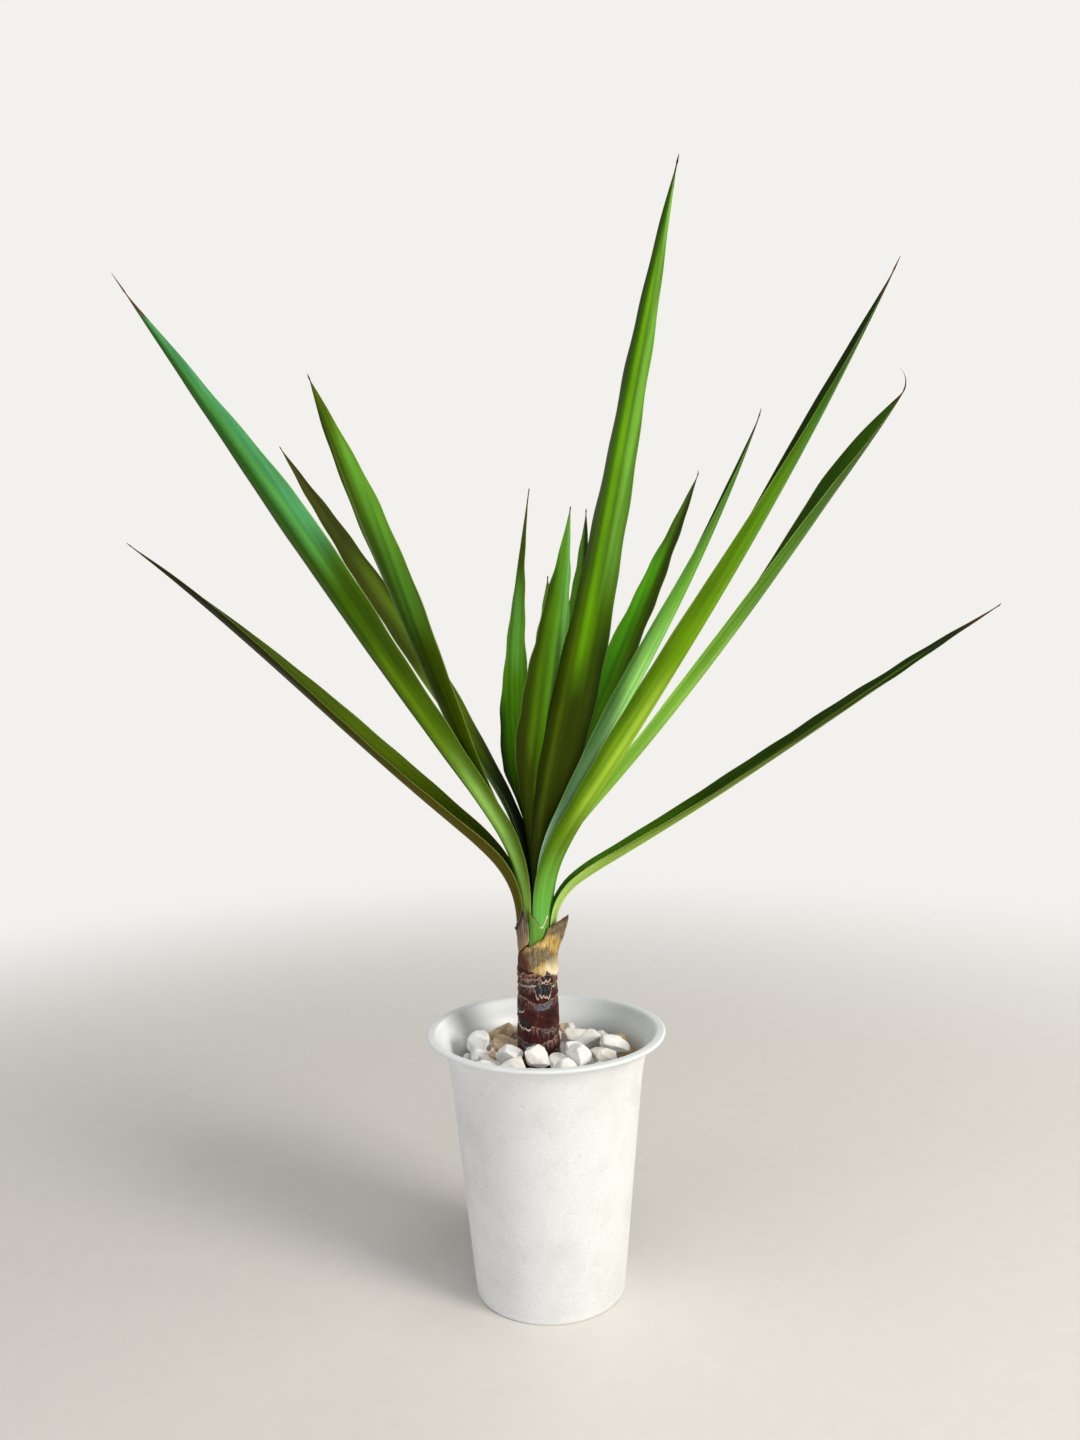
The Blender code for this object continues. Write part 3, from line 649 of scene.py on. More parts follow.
def husk_radius(share, azimuth):
    lean = HUSK_LEAN * smoothstep((share - 0.3) / 0.7)
    return SHEATH_RADIUS + lean + HUSK_CURL * smoothstep((share - 0.86) / 0.14)


def green_radius(share, azimuth):
    return np.full_like(share, LAYER_RADIUS + GREEN_LAYER * LAYER_PITCH)


cup = wrapped_sheet(
    "straw_cup", CUP_FOOT, CUP_HEAD, cup_radius, 150, 34, (0.0009, 0.0004), 0.00045, dried_leaf_straw()
)
husk = wrapped_sheet(
    "brown_husk", HUSK_FOOT, HUSK_HEAD, husk_radius, 44, 36, (0.0006, 0.0009), 0.0005, dried_leaf_husk()
)
stub = wrapped_sheet(
    "green_stub", GREEN_FOOT, GREEN_HEAD, green_radius, 60, 30, (0.0, 0.0003), 0.0001, cut_green_base()
)
for piece, node, finish in (
    (cup, "dry_leaf_base_front", "dry_straw"),
    (husk, "dry_leaf_base_left", "dry_husk"),
    (stub, "green_leaf_base", "base_green"),
):
    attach(piece, "root")
    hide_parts(node)


# --- Leaves ---------------------------------------------------------------------------------------
# Fourteen sword leaves, grown in a spiral and nested at the crown. Each is a stiff fibrous blade
# with a folded keel, a thin pale margin and a dry point; the waxy underside is the bluer one, partly
# by a painted sheen. Light and shade are painted into the greens of both sides.

LEAF_BASE_THICKNESS = 0.0014
LEAF_TIP_THICKNESS = 0.0008
LEAF_EDGE_THINNING = 0.6
LEAF_KEEL_ROUNDING = 0.0015
CLASP_LENGTH = 0.055
LEAF_BEND_POWER = 2.5
LEAF_TWIST_START = 0.025
LEAF_TWIST_RAMP = 0.060
LEAF_KNOTS = 17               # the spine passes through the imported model's own stations
LEAF_CROWDING = 1.8
LEAF_FOOT_GAP = 0.0003        # between the crown's core and a leaf's foot
LEAF_LEAST_HALF_WIDTH = 0.0004
LEAF_ROWS = 110
LEAF_ROW_CROWDING = 1.15      # above 1, the rows crowd towards the point
LEAF_COLUMNS = 25
LEAF_CREASE = 0.5             # how much of the channel is a crease at the keel, and how much a round
LEAF_CREASE_START = 0.05      # how far along the blade the crease starts, and over what length
LEAF_CREASE_RAMP = 0.08
LEAF_KEEL = 0.12              # roundness of the keel, as a share of the half width
LEAF_PLEAT = 0.00018
LEAF_WAVER = 0.0004           # how far the margins stray from a smooth curve
LEAF_WAVER_START = 0.04       # the same for the pleats and the wavering margins
LEAF_WAVER_RAMP = 0.06
LEAF_ROUND_FROM = 0.93        # where the rounding of a margin starts, as a share of the half width
THORN_ROWS = 9
THORN_RADIUS = 0.0007
THORN_TAPER = 0.8             # the share of its radius that a thorn loses
THORN_THICKNESS = 1.6         # how thick it is for its radius
HOOK_AXIS = Vector((0.0, 1.0, 0.0))
HOOKED = 45                   # a thorn that bends by more degrees than this stands beyond the blade
LIGHT_SHADE_FADE = 0.10            # over how much of the length a painted streak of light and shade comes and goes

# Each streak paints a band of light, shade and sheen along one side of a leaf.
Streak = namedtuple("Streak", "colour middle spread start end strength")
Leaf = namedtuple(
    "Leaf",
    "layer clasp azimuth sway lean tip_lean bow bend length width belly taper twist tip_twist roll fold "
    "dry thorn hook above below streaks",
)
BACK_GREENS = ("#4c6404", "#56800e", "#4a7412")     # undersides that are turned away at the front
LEAVES = (                    # above, below: the greens of each side, at even steps from foot to point, with the light and shade that fall on the leaf painted in
    Leaf(6, 44, 177.5, 3, 35.5, 39, 6, 0.055, 0.431, 0.039, 0.22, 2.61, 13, 25, -29, 72, 6, 4, 0,
         ("#46540a", "#5a7006", "#546e04", "#3e4e02", "#2a3202"),
         ("#5a5410", "#524c06", "#403c04", "#282e02", "#262e04"),
         ()),
    Leaf(5, 47, 206, -2.5, 51, 55.5, 2.5, 0.067, 0.536, 0.0415, 0.66, 1.2, 18, 30, 0, 68, 16, 14, 0,
         ("#2c4200", "#34520a", "#34520a"),
         ("#86b840", "#6c921a", "#4e7002", "#3e6404", "#2e6c10", "#3a7422"),
         (Streak("#a6dc66", -0.24, 0.42, 0.04, 0.28, 0.95), Streak("#7aa40c", -0.14, 0.16, 0.26, 0.46, 0.8),
          Streak("#56a86a", -0.72, 0.42, 0.63, 1.10, 0.92), Streak("#62b84e", -0.38, 0.14, 0.60, 0.88, 0.7),
          Streak("#263c02", 0.55, 0.46, 0.22, 1.10, 0.85), Streak("#3a5204", -0.95, 0.40, 0.06, 0.56, 0.8),
          Streak("#2c4402", -0.64, 0.18, 0.42, 0.60, 0.7))),
    Leaf(3, 60, 146.5, -6, 50.5, 49.5, 1, 0.066, 0.475, 0.038, 0.44, 1.49, 34, -24, -9, 56, 5, 3, 0,
         ("#0c1e00", "#101e00", "#3c4a04", "#363f04", "#343c04", "#343a04"),
         ("#4c6404", "#56800e", "#4a7412", "#40601a"),
         (Streak("#587408", 0.45, 0.30, 0.26, 0.72, 0.8), Streak("#30380a", -0.75, 0.25, 0.30, 1.00, 0.6),
          Streak("#84a60a", 0.10, 0.90, 0.33, 0.44, 0.75))),
    Leaf(4, 54, 190, 7, 55, 68.5, 7, 0.050, 0.431, 0.043, 0.51, 1.81, -6, 78, -23, 61, 5, 4, 0,
         ("#2c4200", "#3a5208", "#4a600a"),
         ("#84ba4c", "#567808", "#4c6604", "#4a6406", "#4e6e0a", "#486406"),
         (Streak("#343c04", 0.88, 0.30, 0.12, 0.95, 0.9), Streak("#66a834", -0.50, 0.44, 0.56, 0.90, 0.88),
          Streak("#8cb01c", 0.42, 0.10, 0.42, 0.90, 0.8), Streak("#7e9a0a", -0.20, 0.90, 0.27, 0.42, 0.7))),
    Leaf(0, 36, 205, 5, 66, 100, 8.5, 0.034, 0.296, 0.0325, 0.30, 1.32, 72, -12, -2, 45, 4, 2, 0,
         ("#2c4200", "#46580a", "#4c5e0a"),
         ("#142400", "#243c00", "#4c8a06", "#629e14", "#4c640a", "#485a0c"),
         (Streak("#16280a", 0.85, 0.40, 0.00, 0.46, 0.85), Streak("#70ba48", -0.25, 0.45, 0.55, 0.77, 0.9),
          Streak("#74b41a", 0.60, 0.18, 0.46, 0.78, 0.7))),
    Leaf(1, 46, 286.5, 21.5, 77, 79, -4, 0.063, 0.287, 0.0415, 0.42, 1.42, -10, 0, -3, 42, 3, 2, 0,
         ("#2c4200", "#34520a", "#34520a"),
         ("#202c00", "#424e02", "#4a5c02", "#5a8806", "#5ea01c", "#5e9c30"),
         (Streak("#74bc10", 0.02, 0.13, 0.24, 0.76, 0.95), Streak("#80cc60", -0.52, 0.44, 0.50, 1.10, 0.95),
          Streak("#343e02", 0.86, 0.34, 0.05, 0.86, 0.85), Streak("#2c3a00", -0.22, 0.07, 0.18, 0.70, 0.7),
          Streak("#68a010", -0.50, 0.14, 0.20, 0.55, 0.8), Streak("#62980e", 0.40, 0.12, 0.36, 0.92, 0.7))),
    Leaf(0, 36, 66, -20, 70.5, 88, 1.5, 0.055, 0.232, 0.0265, 0.55, 1.62, 0, 31, 0, 50, 3, 2, 0,
         ("#1c2800", "#2e3c02", "#3e5a06", "#4e7e10", "#5a9022"),
         BACK_GREENS,
         ()),
    Leaf(1, 43, 56, -16, 60.5, 87, -1.5, 0.055, 0.302, 0.03, 0.45, 1.6, 6, 34, 0, 52, 4, 3, 0,
         ("#1a2400", "#343e02", "#404e04", "#3c4e06", "#34460a", "#26340a"),
         BACK_GREENS,
         (Streak("#44781a", -0.62, 0.36, 0.50, 0.96, 0.8),)),
    Leaf(2, 46, 299, -4, 62.5, 61, 4.5, 0.052, 0.511, 0.0405, 0.34, 1.76, -10, -45, -46, 47, 7, 5, 0,
         ("#24340a", "#2c420a", "#34520a"),
         ("#2c3602", "#445004", "#4a6002", "#4e7a04", "#4a8008", "#3e6c10", "#3c6618"),
         (Streak("#2a3602", 0.90, 0.56, 0.00, 1.10, 0.92), Streak("#78bc04", -0.16, 0.22, 0.36, 0.90, 0.95),
          Streak("#86c844", -0.66, 0.30, 0.50, 1.10, 0.9), Streak("#26340a", -0.95, 0.34, 0.00, 0.44, 0.85),
          Streak("#5c7404", 0.24, 0.14, 0.10, 0.60, 0.6), Streak("#48700a", -0.36, 0.06, 0.46, 0.96, 0.6),
          Streak("#4c7406", 0.34, 0.07, 0.46, 0.96, 0.6))),
    Leaf(2, 46, 42, -2, 53, 60, 1, 0.050, 0.393, 0.037, 0.38, 1.52, -5, 29, -1, 52, 6, 5, 25,
         ("#3a4402", "#323f02", "#4e7c04", "#487604", "#3c6208", "#2c420a"),
         BACK_GREENS,
         (Streak("#343c02", 0.62, 0.44, 0.25, 1.00, 0.9), Streak("#489a0a", -0.55, 0.42, 0.34, 0.80, 0.85))),
    Leaf(3, 58, 331, -0.5, 58, 68.5, -4, 0.050, 0.396, 0.043, 0.49, 1.51, 16, 41, -17, 66, 7, 6, 10,
         ("#24360a", "#2c4200", "#30440a"),
         ("#a8dcb0", "#b8f0bc", "#bcf8b0", "#a4ec78", "#6cac38", "#507e26", "#283a08"),
         (Streak("#46862c", 0.94, 0.20, 0.20, 0.94, 0.7), Streak("#8ecc70", 0.20, 0.16, 0.16, 0.60, 0.6))),
    Leaf(5, 60, 317.5, -7, 51, 57.5, -3, 0.053, 0.516, 0.043, 0.50, 1.98, -8, 62, -7, 71, 12, 8, 0,
         ("#24360a", "#2c3e04", "#243806", "#1e3006", "#22340a"),
         ("#66b450", "#648612", "#7ca418", "#6c9a04", "#5a8a02", "#34600a", "#203806"),
         (Streak("#4e7604", 0.90, 0.30, 0.08, 0.72, 0.85), Streak("#9ec43a", 0.28, 0.26, 0.20, 0.45, 0.85),
          Streak("#507c02", 0.55, 0.09, 0.30, 0.80, 0.5))),
    Leaf(4, 58, 352, -3.5, 43.5, 55.5, 2.5, 0.054, 0.465, 0.038, 0.82, 1.5, -8, 38, -22, 66, 9, 17, 75,
         ("#34540a", "#34480a", "#2c3e04", "#2c4806", "#345a06"),
         ("#8cc060", "#6e9618", "#84bc42", "#6ca032", "#527e24", "#3c5a1a", "#2a3e08"),
         (Streak("#9ccc5c", 0.12, 0.20, 0.10, 0.56, 0.7),)),
    Leaf(6, 44, 2, -1, 25, 31, 5, 0.039, 0.434, 0.0335, 0.18, 1.48, -7, 47, -9, 62, 30, 3, 15,
         ("#5c9a30", "#568a10", "#2c4602", "#203402", "#162a02", "#1c2402"),
         ("#b4d878", "#98bc48", "#768f26", "#50660e", "#38480a", "#242e06"),
         (Streak("#6c8418", -0.10, 0.14, 0.10, 0.84, 0.8), Streak("#1a2c02", 0.95, 0.14, 0.18, 0.90, 0.5))),
)


def living_leaf_skin():
    """A living yucca leaf: a waxy satin skin over parallel fibres, in the greens that its piece brings,
    which carry painted light and shade.
    """
    material, add = start_material("living_yucca_leaf")
    names = ("along", "offset", "across", "left", "dry", "number", "red", "green", "blue")
    field = {name: add("Attribute", out="Fac", attribute_name=name) for name in names}
    # Fibres lie 0.4 mm apart and are drawn at 1.3 mm, broader bands at 3 mm, clouds at 25 by 60 mm.
    run = add("CombineXYZ", [field["offset"], field["along"], field["number"]])
    thin = add("Mapping", {"Vector": run, "Scale": (760.0, 5.0, 7.0)})
    wide = add("Mapping", {"Vector": run, "Scale": (300.0, 4.0, 7.0)})
    cloud = add("Mapping", {"Vector": run, "Scale": (40.0, 16.0, 7.0)})
    fibre = add("TexNoise", {"Vector": thin, "Scale": 1.0, "Detail": 1.0})
    band = add("TexNoise", {"Vector": wide, "Scale": 1.0, "Detail": 0.8})
    tone = add("TexNoise", {"Vector": cloud, "Scale": 1.0, "Detail": 3.0})
    colour = add("CombineColor", [field["red"], field["green"], field["blue"]])
    for pattern, dark, light in ((fibre, 0.96, 1.04), (band, 0.80, 1.20), (tone, 0.86, 1.14)):
        value = add("MapRange", [pattern, 0.32, 0.68, dark, light])
        colour = add("Mix", {0: 1.0, 6: colour, 7: value}, **TINTED)
    # The margin is thin and pale.
    middle = add("Math", [field["across"]], operation="ABSOLUTE")
    margin = add("MapRange", [middle, 0.955, 0.985, 0.0, 0.5])
    colour = add("Mix", {0: margin, 6: colour, 7: "#94b062"}, **BLENDED)
    # The tip dries from its point and its margins inwards.
    ragged = add("Math", [fibre, -0.012, field["left"]], operation="MULTIPLY_ADD")
    ragged = add("Math", [middle, -0.010, ragged], operation="MULTIPLY_ADD")
    ragged = add("Math", [ragged, 0.008], operation="ADD")
    ragged = add("Math", [ragged, field["dry"]], operation="DIVIDE")
    point = add("MapRange", [ragged, 0.55, 1.0, 1.0, 0.0])
    dry = add("ValToRGB", [fibre], {0.35: "#2e140c", 0.70: "#6e4c34"})
    colour = add("Mix", {0: point, 6: colour, 7: dry}, **BLENDED)
    rough = add("MapRange", [band, 0.3, 0.7, 0.46, 0.58])
    bump = add("Bump", {"Height": band, "Strength": 0.06, "Distance": 0.0005})
    return finish_material(material, add("BsdfPrincipled", {
        "Base Color": colour, "Roughness": rough, "Normal": bump, "IOR": 1.45, "Specular IOR Level": 0.07,
    }))


def painted_leaf_greens(leaf, stops, share, across):
    """One side's colour at its points: the greens from foot to point, then the streaks along them; light,
    shade and sheen are painted into both.
    """
    greens = np.array([linear(colour)[:3] for colour in stops])
    place = np.linspace(0.0, 1.0, len(stops))
    colour = np.stack([np.interp(share, place, channel) for channel in greens.T], axis=2)
    for streak in leaf.streaks:
        weight = streak.strength * np.exp(-(((across - streak.middle) / streak.spread) ** 2))
        weight *= smoothstep((share - streak.start) / LIGHT_SHADE_FADE + 0.5)
        weight *= smoothstep((streak.end - share) / LIGHT_SHADE_FADE + 0.5)
        colour += weight[..., None] * (np.array(linear(streak.colour)[:3]) - colour)
    return colour


def leaf_frame(leaf, distance):
    """The blade's direction, its side and its up at a distance along it."""
    share = distance / leaf.length
    arch = 4.0 * share * (1.0 - share)
    heading = math.radians(leaf.azimuth + leaf.sway * share)
    rise = (90.0 - leaf.lean) * math.exp(-((distance / leaf.bend) ** LEAF_BEND_POWER))
    rise += (leaf.lean - leaf.tip_lean) * (1.0 - share) + leaf.bow * arch
    lean = math.radians(leaf.tip_lean + rise)
    level = Vector((math.cos(heading), math.sin(heading), 0.0))
    forward = level * math.cos(lean) + Vector((0.0, 0.0, math.sin(lean)))
    up = Vector((0.0, 0.0, math.cos(lean))) - level * math.sin(lean)
    turn = leaf.twist + (leaf.tip_twist - leaf.twist) * share + leaf.roll * arch
    turn *= min(max((distance - LEAF_TWIST_START) / LEAF_TWIST_RAMP, 0.0), 1.0)
    up = Matrix.Rotation(math.radians(turn), 3, forward) @ up
    return forward, forward.cross(up), up


def leaf_spine(leaf, middle, height):
    """The blade's middle line as (distance, place, direction) knots, from its foot to its point."""
    azimuth = math.radians(leaf.azimuth)
    place = Vector((CANE_X + middle * math.cos(azimuth), middle * math.sin(azimuth), height))
    forward = Vector((0.0, 0.0, 1.0))
    reached = 0.0
    knots = []
    for knot in range(LEAF_KNOTS):
        distance = (knot / (LEAF_KNOTS - 1)) ** LEAF_CROWDING * leaf.length
        before, forward = forward, leaf_frame(leaf, distance)[0]
        place = place + (distance - reached) * 0.5 * (before + forward)
        reached = distance
        knots.append((distance, place.copy(), forward.copy()))
    return knots


def on_spine(knots, distance):
    """The smooth curve through the knots at a distance."""
    for (start, place, forward), (end, next_place, next_forward) in zip(knots, knots[1:]):
        if distance <= end or end == knots[-1][0]:
            gap = end - start
            t = (distance - start) / gap
            return (
                (2 * t**3 - 3 * t**2 + 1) * place + (t**3 - 2 * t**2 + t) * gap * forward
                + (3 * t**2 - 2 * t**3) * next_place + (t**3 - t**2) * gap * next_forward
            )


def leaf_half_width(leaf, root, share):
    half = leaf.width / 2.0
    if share < leaf.belly:
        return root + (half - root) * float(smoothstep(share / leaf.belly))
    narrowing = ((share - leaf.belly) / (1.0 - leaf.belly)) ** leaf.taper
    return max(half * (1.0 - narrowing), LEAF_LEAST_HALF_WIDTH)


def leaf_section(leaf, number, share, middle, half, across):
    """One row of the blade: how far each point lies to the side and how far it is lifted."""
    distance = share * leaf.length
    clasp = math.exp(-((distance / CLASP_LENGTH) ** 2))
    folded = math.radians(leaf.fold) / (half + LEAF_KEEL_ROUNDING)
    curl = clasp / middle + (1.0 - clasp) * folded
    angle = across * half * curl
    x = np.sin(angle) / curl
    arc = (1.0 - np.cos(angle)) / curl
    crease = (np.sqrt(across**2 + LEAF_KEEL**2) - LEAF_KEEL) / (math.sqrt(1.0 + LEAF_KEEL**2) - LEAF_KEEL)
    creased = LEAF_CREASE * float(smoothstep((distance - LEAF_CREASE_START) / LEAF_CREASE_RAMP))
    lift = (1.0 - creased) * arc + creased * arc[-1] * crease
    free = float(smoothstep((distance - LEAF_WAVER_START) / LEAF_WAVER_RAMP))
    free *= float(smoothstep((1.0 - share) * 6.0))
    pleat = np.cos(9.0 * across + number * 1.7 + 2.0 * share)
    pleat += 0.5 * np.cos(21.0 * across + number + 5.0 * share)
    waver = np.sin(share * 31.0 + number * 2.3 + np.sign(across))
    waver += np.sin(share * 67.0 + number - 2.0 * across)
    x = x + free * LEAF_WAVER * waver * across**3
    return x, lift + free * LEAF_PLEAT * pleat * (1.0 - across**2)


def build_leaf(number, leaf, material):
    inner = LAYER_RADIUS + leaf.layer * LAYER_PITCH
    middle = inner + LEAF_BASE_THICKNESS / 2.0
    height = CROWN_FOOT + (CROWN_CORE_RADIUS + LEAF_FOOT_GAP - inner) / CROWN_CORE_SLOPE
    knots = leaf_spine(leaf, middle, height)
    root = math.radians(leaf.clasp) * middle
    across = np.sin(np.linspace(-math.pi / 2.0, math.pi / 2.0, LEAF_COLUMNS))
    rounding = np.clip(np.abs(across) - LEAF_ROUND_FROM, 0.0, 1.0) / (1.001 - LEAF_ROUND_FROM)
    edge = np.sqrt(np.clip(1.0 - rounding**2, 0.02, 1.0))
    rows = 1.0 - (1.0 - np.linspace(0.0, 1.0, LEAF_ROWS)) ** LEAF_ROW_CROWDING
    # The blade ends in a dry thorn: a straight one is the last of its length, a hooked one stands beyond.
    thorn = leaf.thorn / 1000.0
    blade = leaf.length - (thorn if leaf.hook < HOOKED else 0.0)
    grid, outward, thick, shares, half_widths = [], [], [], [], []
    for share in rows:
        distance = share * blade
        place = on_spine(knots, distance)
        forward, side, up = leaf_frame(leaf, distance)
        half = leaf_half_width(leaf, root, share)
        x, lift = leaf_section(leaf, number, share, middle, half, across)
        grid.append([tuple(place + side * float(a) + up * float(b)) for a, b in zip(x, lift)])
        outward.append([tuple((up - side * float(s)).normalized()) for s in np.gradient(lift, x)])
        spread = LEAF_BASE_THICKNESS + (LEAF_TIP_THICKNESS - LEAF_BASE_THICKNESS) * share
        thick.append(spread * (1.0 - LEAF_EDGE_THINNING * across**2) * edge)
        shares.append(share)
        half_widths.append(half)
    for row in range(1, THORN_ROWS + 1):
        step = row / THORN_ROWS
        forward = Matrix.Rotation(math.radians(-leaf.hook / THORN_ROWS), 3, HOOK_AXIS) @ forward
        place = place + forward * (thorn / THORN_ROWS)
        half = THORN_RADIUS * (1.0 - THORN_TAPER * step)
        grid.append([tuple(place + side * float(a)) for a in across * half])
        outward.append([tuple(up)] * LEAF_COLUMNS)
        thick.append(THORN_THICKNESS * half * np.sqrt(np.clip(1.0 - across**2, 0.04, 1.0)))
        shares.append(1.0)
        half_widths.append(half)
    grid_share, grid_across = np.meshgrid(shares, across, indexing="ij")
    even = np.ones_like(grid_share)
    fields = {
        "left": (1.0 - grid_share) * blade, "along": grid_share * blade, "across": grid_across,
        "offset": grid_across * np.array(half_widths)[:, None], "number": even * number,
        "dry": even * leaf.dry / 1000.0,
    }
    upper, lower = [painted_leaf_greens(leaf, stops, grid_share, grid_across) for stops in (leaf.above, leaf.below)]
    for channel, name in enumerate(("red", "green", "blue")):
        fields[name] = (upper[..., channel], lower[..., channel])
    return sheet_piece(
        f"yucca_leaf_{number:02d}", np.array(grid), np.array(outward), np.array(thick), fields, material
    )


leaf_skin = living_leaf_skin()
for number, leaf in enumerate(LEAVES, start=1):
    blade = build_leaf(number, leaf, leaf_skin)
    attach(blade, "root")
    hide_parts(f"leaf_{number:02d}")


# --- Pebbles --------------------------------------------------------------------------------------
# Broken chips of white marble, poured over the soil. Tumbling has only just taken off their edges;
# most are chalk white, a few cream or ochre. Those at the back left and by the right wall are ochre
# partly as painted warm shade. Small chips fill the gaps between the large ones.

CHIP_FACETS = 13
CHIP_FACET_STRAY = 0.32       # how far a facet's facing strays from an even spread over the chip
CHIP_FACET_CUT = (0.50, 0.80)     # where a facet lies between the chip's middle and its skin
CHIP_SOFTNESS = 0.02          # how far a facet's edge is rounded, as a share of the chip
CHIP_WAVE = 0.03              # how uneven its skin is
GOLDEN_ANGLE = 2.39996        # each facet is turned by this from the last
CHIP_SWELL = 1.14             # the real chips touch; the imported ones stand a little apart
CHIP_TINTS = (0.0, 0.0, 0.0, 0.0, 0.03, 0.06, 0.16)     # from white to ochre, drawn for each chip
STAIN_AND_WARM_SHADE_TINTS = (0.7, 1.0)
STAIN_AND_WARM_SHADE_SPOTS = ((-0.030, 0.022), (0.060, 0.006))
STAIN_AND_WARM_SHADE_REACH = 0.016
SMALL_CHIPS = 150
SMALL_CHIP_SIZE = (0.0060, 0.0125)
SMALL_CHIP_TINTS = (0.0, 0.0, 0.0, 0.1, 0.3, 0.8)
SMALL_CHIP_TOP = 0.1800       # small chips lie no higher than this
SMALL_CHIP_RISE = 0.35        # how far a chip's middle lies above what it rests on, by its half size
DROP_HEIGHT = 0.25            # from where a small chip is let fall on the bed
MARBLE_SEED = 21


def tumbled_marble():
    """White marble chips: crystalline, chalky from tumbling, some stained cream by iron."""
    material, add = start_material("tumbled_white_marble")
    place = add("TexCoord", out="Object")
    tint = add("Attribute", out="Fac", attribute_name="tint")
    # Clouding is 6 mm across; the sugary grain is 0.5 mm, drawn at 0.9 mm.
    cloud = add("TexNoise", {"Vector": place, "Scale": 160.0, "Detail": 4.0, "Roughness": 0.6})
    grain = add("TexNoise", {"Vector": place, "Scale": 1100.0, "Detail": 3.0, "Roughness": 0.7})
    white = add("ValToRGB", [cloud], {0.34: "#e6e6e4", 0.50: "#f4f4f2", 0.66: "#fcfcfb"})
    ochre = add("ValToRGB", [cloud], {0.34: "#a67c3e", 0.52: "#c69f60", 0.68: "#e0c592"})
    colour = add("Mix", {0: tint, 6: white, 7: ochre}, **BLENDED)
    pits = add("MapRange", [grain, 0.30, 0.46, 0.88, 1.0])
    colour = add("Mix", {0: 1.0, 6: colour, 7: pits}, **TINTED)
    relief = add("Math", [cloud, grain], operation="ADD")
    bump = add("Bump", {"Height": relief, "Strength": 0.35, "Distance": 0.0007})
    shader = add("BsdfPrincipled", {"Base Color": colour, "Roughness": 0.55, "IOR": 1.5, "Normal": bump})
    return finish_material(material, shader)


def chip_points(sphere, axes, size, chance):
    """A chip: an egg of that size along its axes, broken flat on all sides and made uneven."""
    points = sphere * size
    turn = chance.uniform(0.0, math.tau)
    for i in range(CHIP_FACETS):
        rise = 1.0 - 2.0 * (i + 0.5) / CHIP_FACETS
        angle = turn + GOLDEN_ANGLE * i
        flat = math.sqrt(1.0 - rise * rise)
        facing = np.array([flat * math.cos(angle), flat * math.sin(angle), rise])
        facing += np.array([chance.gauss(0.0, CHIP_FACET_STRAY) for _ in range(3)])
        facing /= np.linalg.norm(facing)
        reach = points @ facing
        limit = reach.max() * chance.uniform(*CHIP_FACET_CUT)
        soft = CHIP_SOFTNESS * reach.max()
        over = reach - limit
        over = np.where(over > soft, over, np.where(over < -soft, 0.0, (over + soft) ** 2 / (4.0 * soft)))
        points = points - over[:, None] * facing
    points *= size / (np.abs(points).max(axis=0) + 1e-9)
    phase = Vector([chance.uniform(0, 90) for _ in range(3)])
    swell = fractal([Vector(p) * 2.2 + phase for p in sphere], 3)
    points = points * (1.0 + CHIP_WAVE * swell[:, None] - CHIP_WAVE * 0.5)
    return points @ axes


def unit_sphere(detail):
    shape = bmesh.new()
    bmesh.ops.create_icosphere(shape, subdivisions=detail, radius=1.0)
    points = np.array([tuple(vertex.co) for vertex in shape.verts])
    faces = [tuple(vertex.index for vertex in face.verts) for face in shape.faces]
    shape.free()
    return points, faces


marble = tumbled_marble()
chance = random.Random(MARBLE_SEED)
big_sphere, big_faces = unit_sphere(4)
bed_points, bed_faces = [], []
pebble_nodes = sorted(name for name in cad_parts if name.startswith("pebble_"))
for node_name in pebble_nodes:
    solid = np.array([tuple(vertex.co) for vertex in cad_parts[node_name].data.vertices])
    middle = (solid.max(axis=0) + solid.min(axis=0)) / 2.0
    _, _, axes = np.linalg.svd(solid - middle, full_matrices=False)
    turned = (solid - middle) @ axes.T
    size = (turned.max(axis=0) - turned.min(axis=0)) / 2.0
    middle = middle + ((turned.max(axis=0) + turned.min(axis=0)) / 2.0) @ axes
    points = middle + chip_points(big_sphere, axes, size * CHIP_SWELL, chance)
    tint = chance.choice(CHIP_TINTS)
    # Chips near these spots are tinted deep ochre: partly stain, partly painted warm shade.
    if min(math.dist(middle[:2], spot) for spot in STAIN_AND_WARM_SHADE_SPOTS) < STAIN_AND_WARM_SHADE_REACH:
        tint = chance.uniform(*STAIN_AND_WARM_SHADE_TINTS)
    chip_name = node_name.replace("pebble", "marble_chip")
    chip = make_piece(chip_name, points, big_faces, {"tint": np.full(len(points), tint)}, marble)
    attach(chip, "root")
    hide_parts(node_name)
    start = sum(len(p) for p in bed_points)
    bed_points.append(points)
    bed_faces += [tuple(start + i for i in face) for face in big_faces]

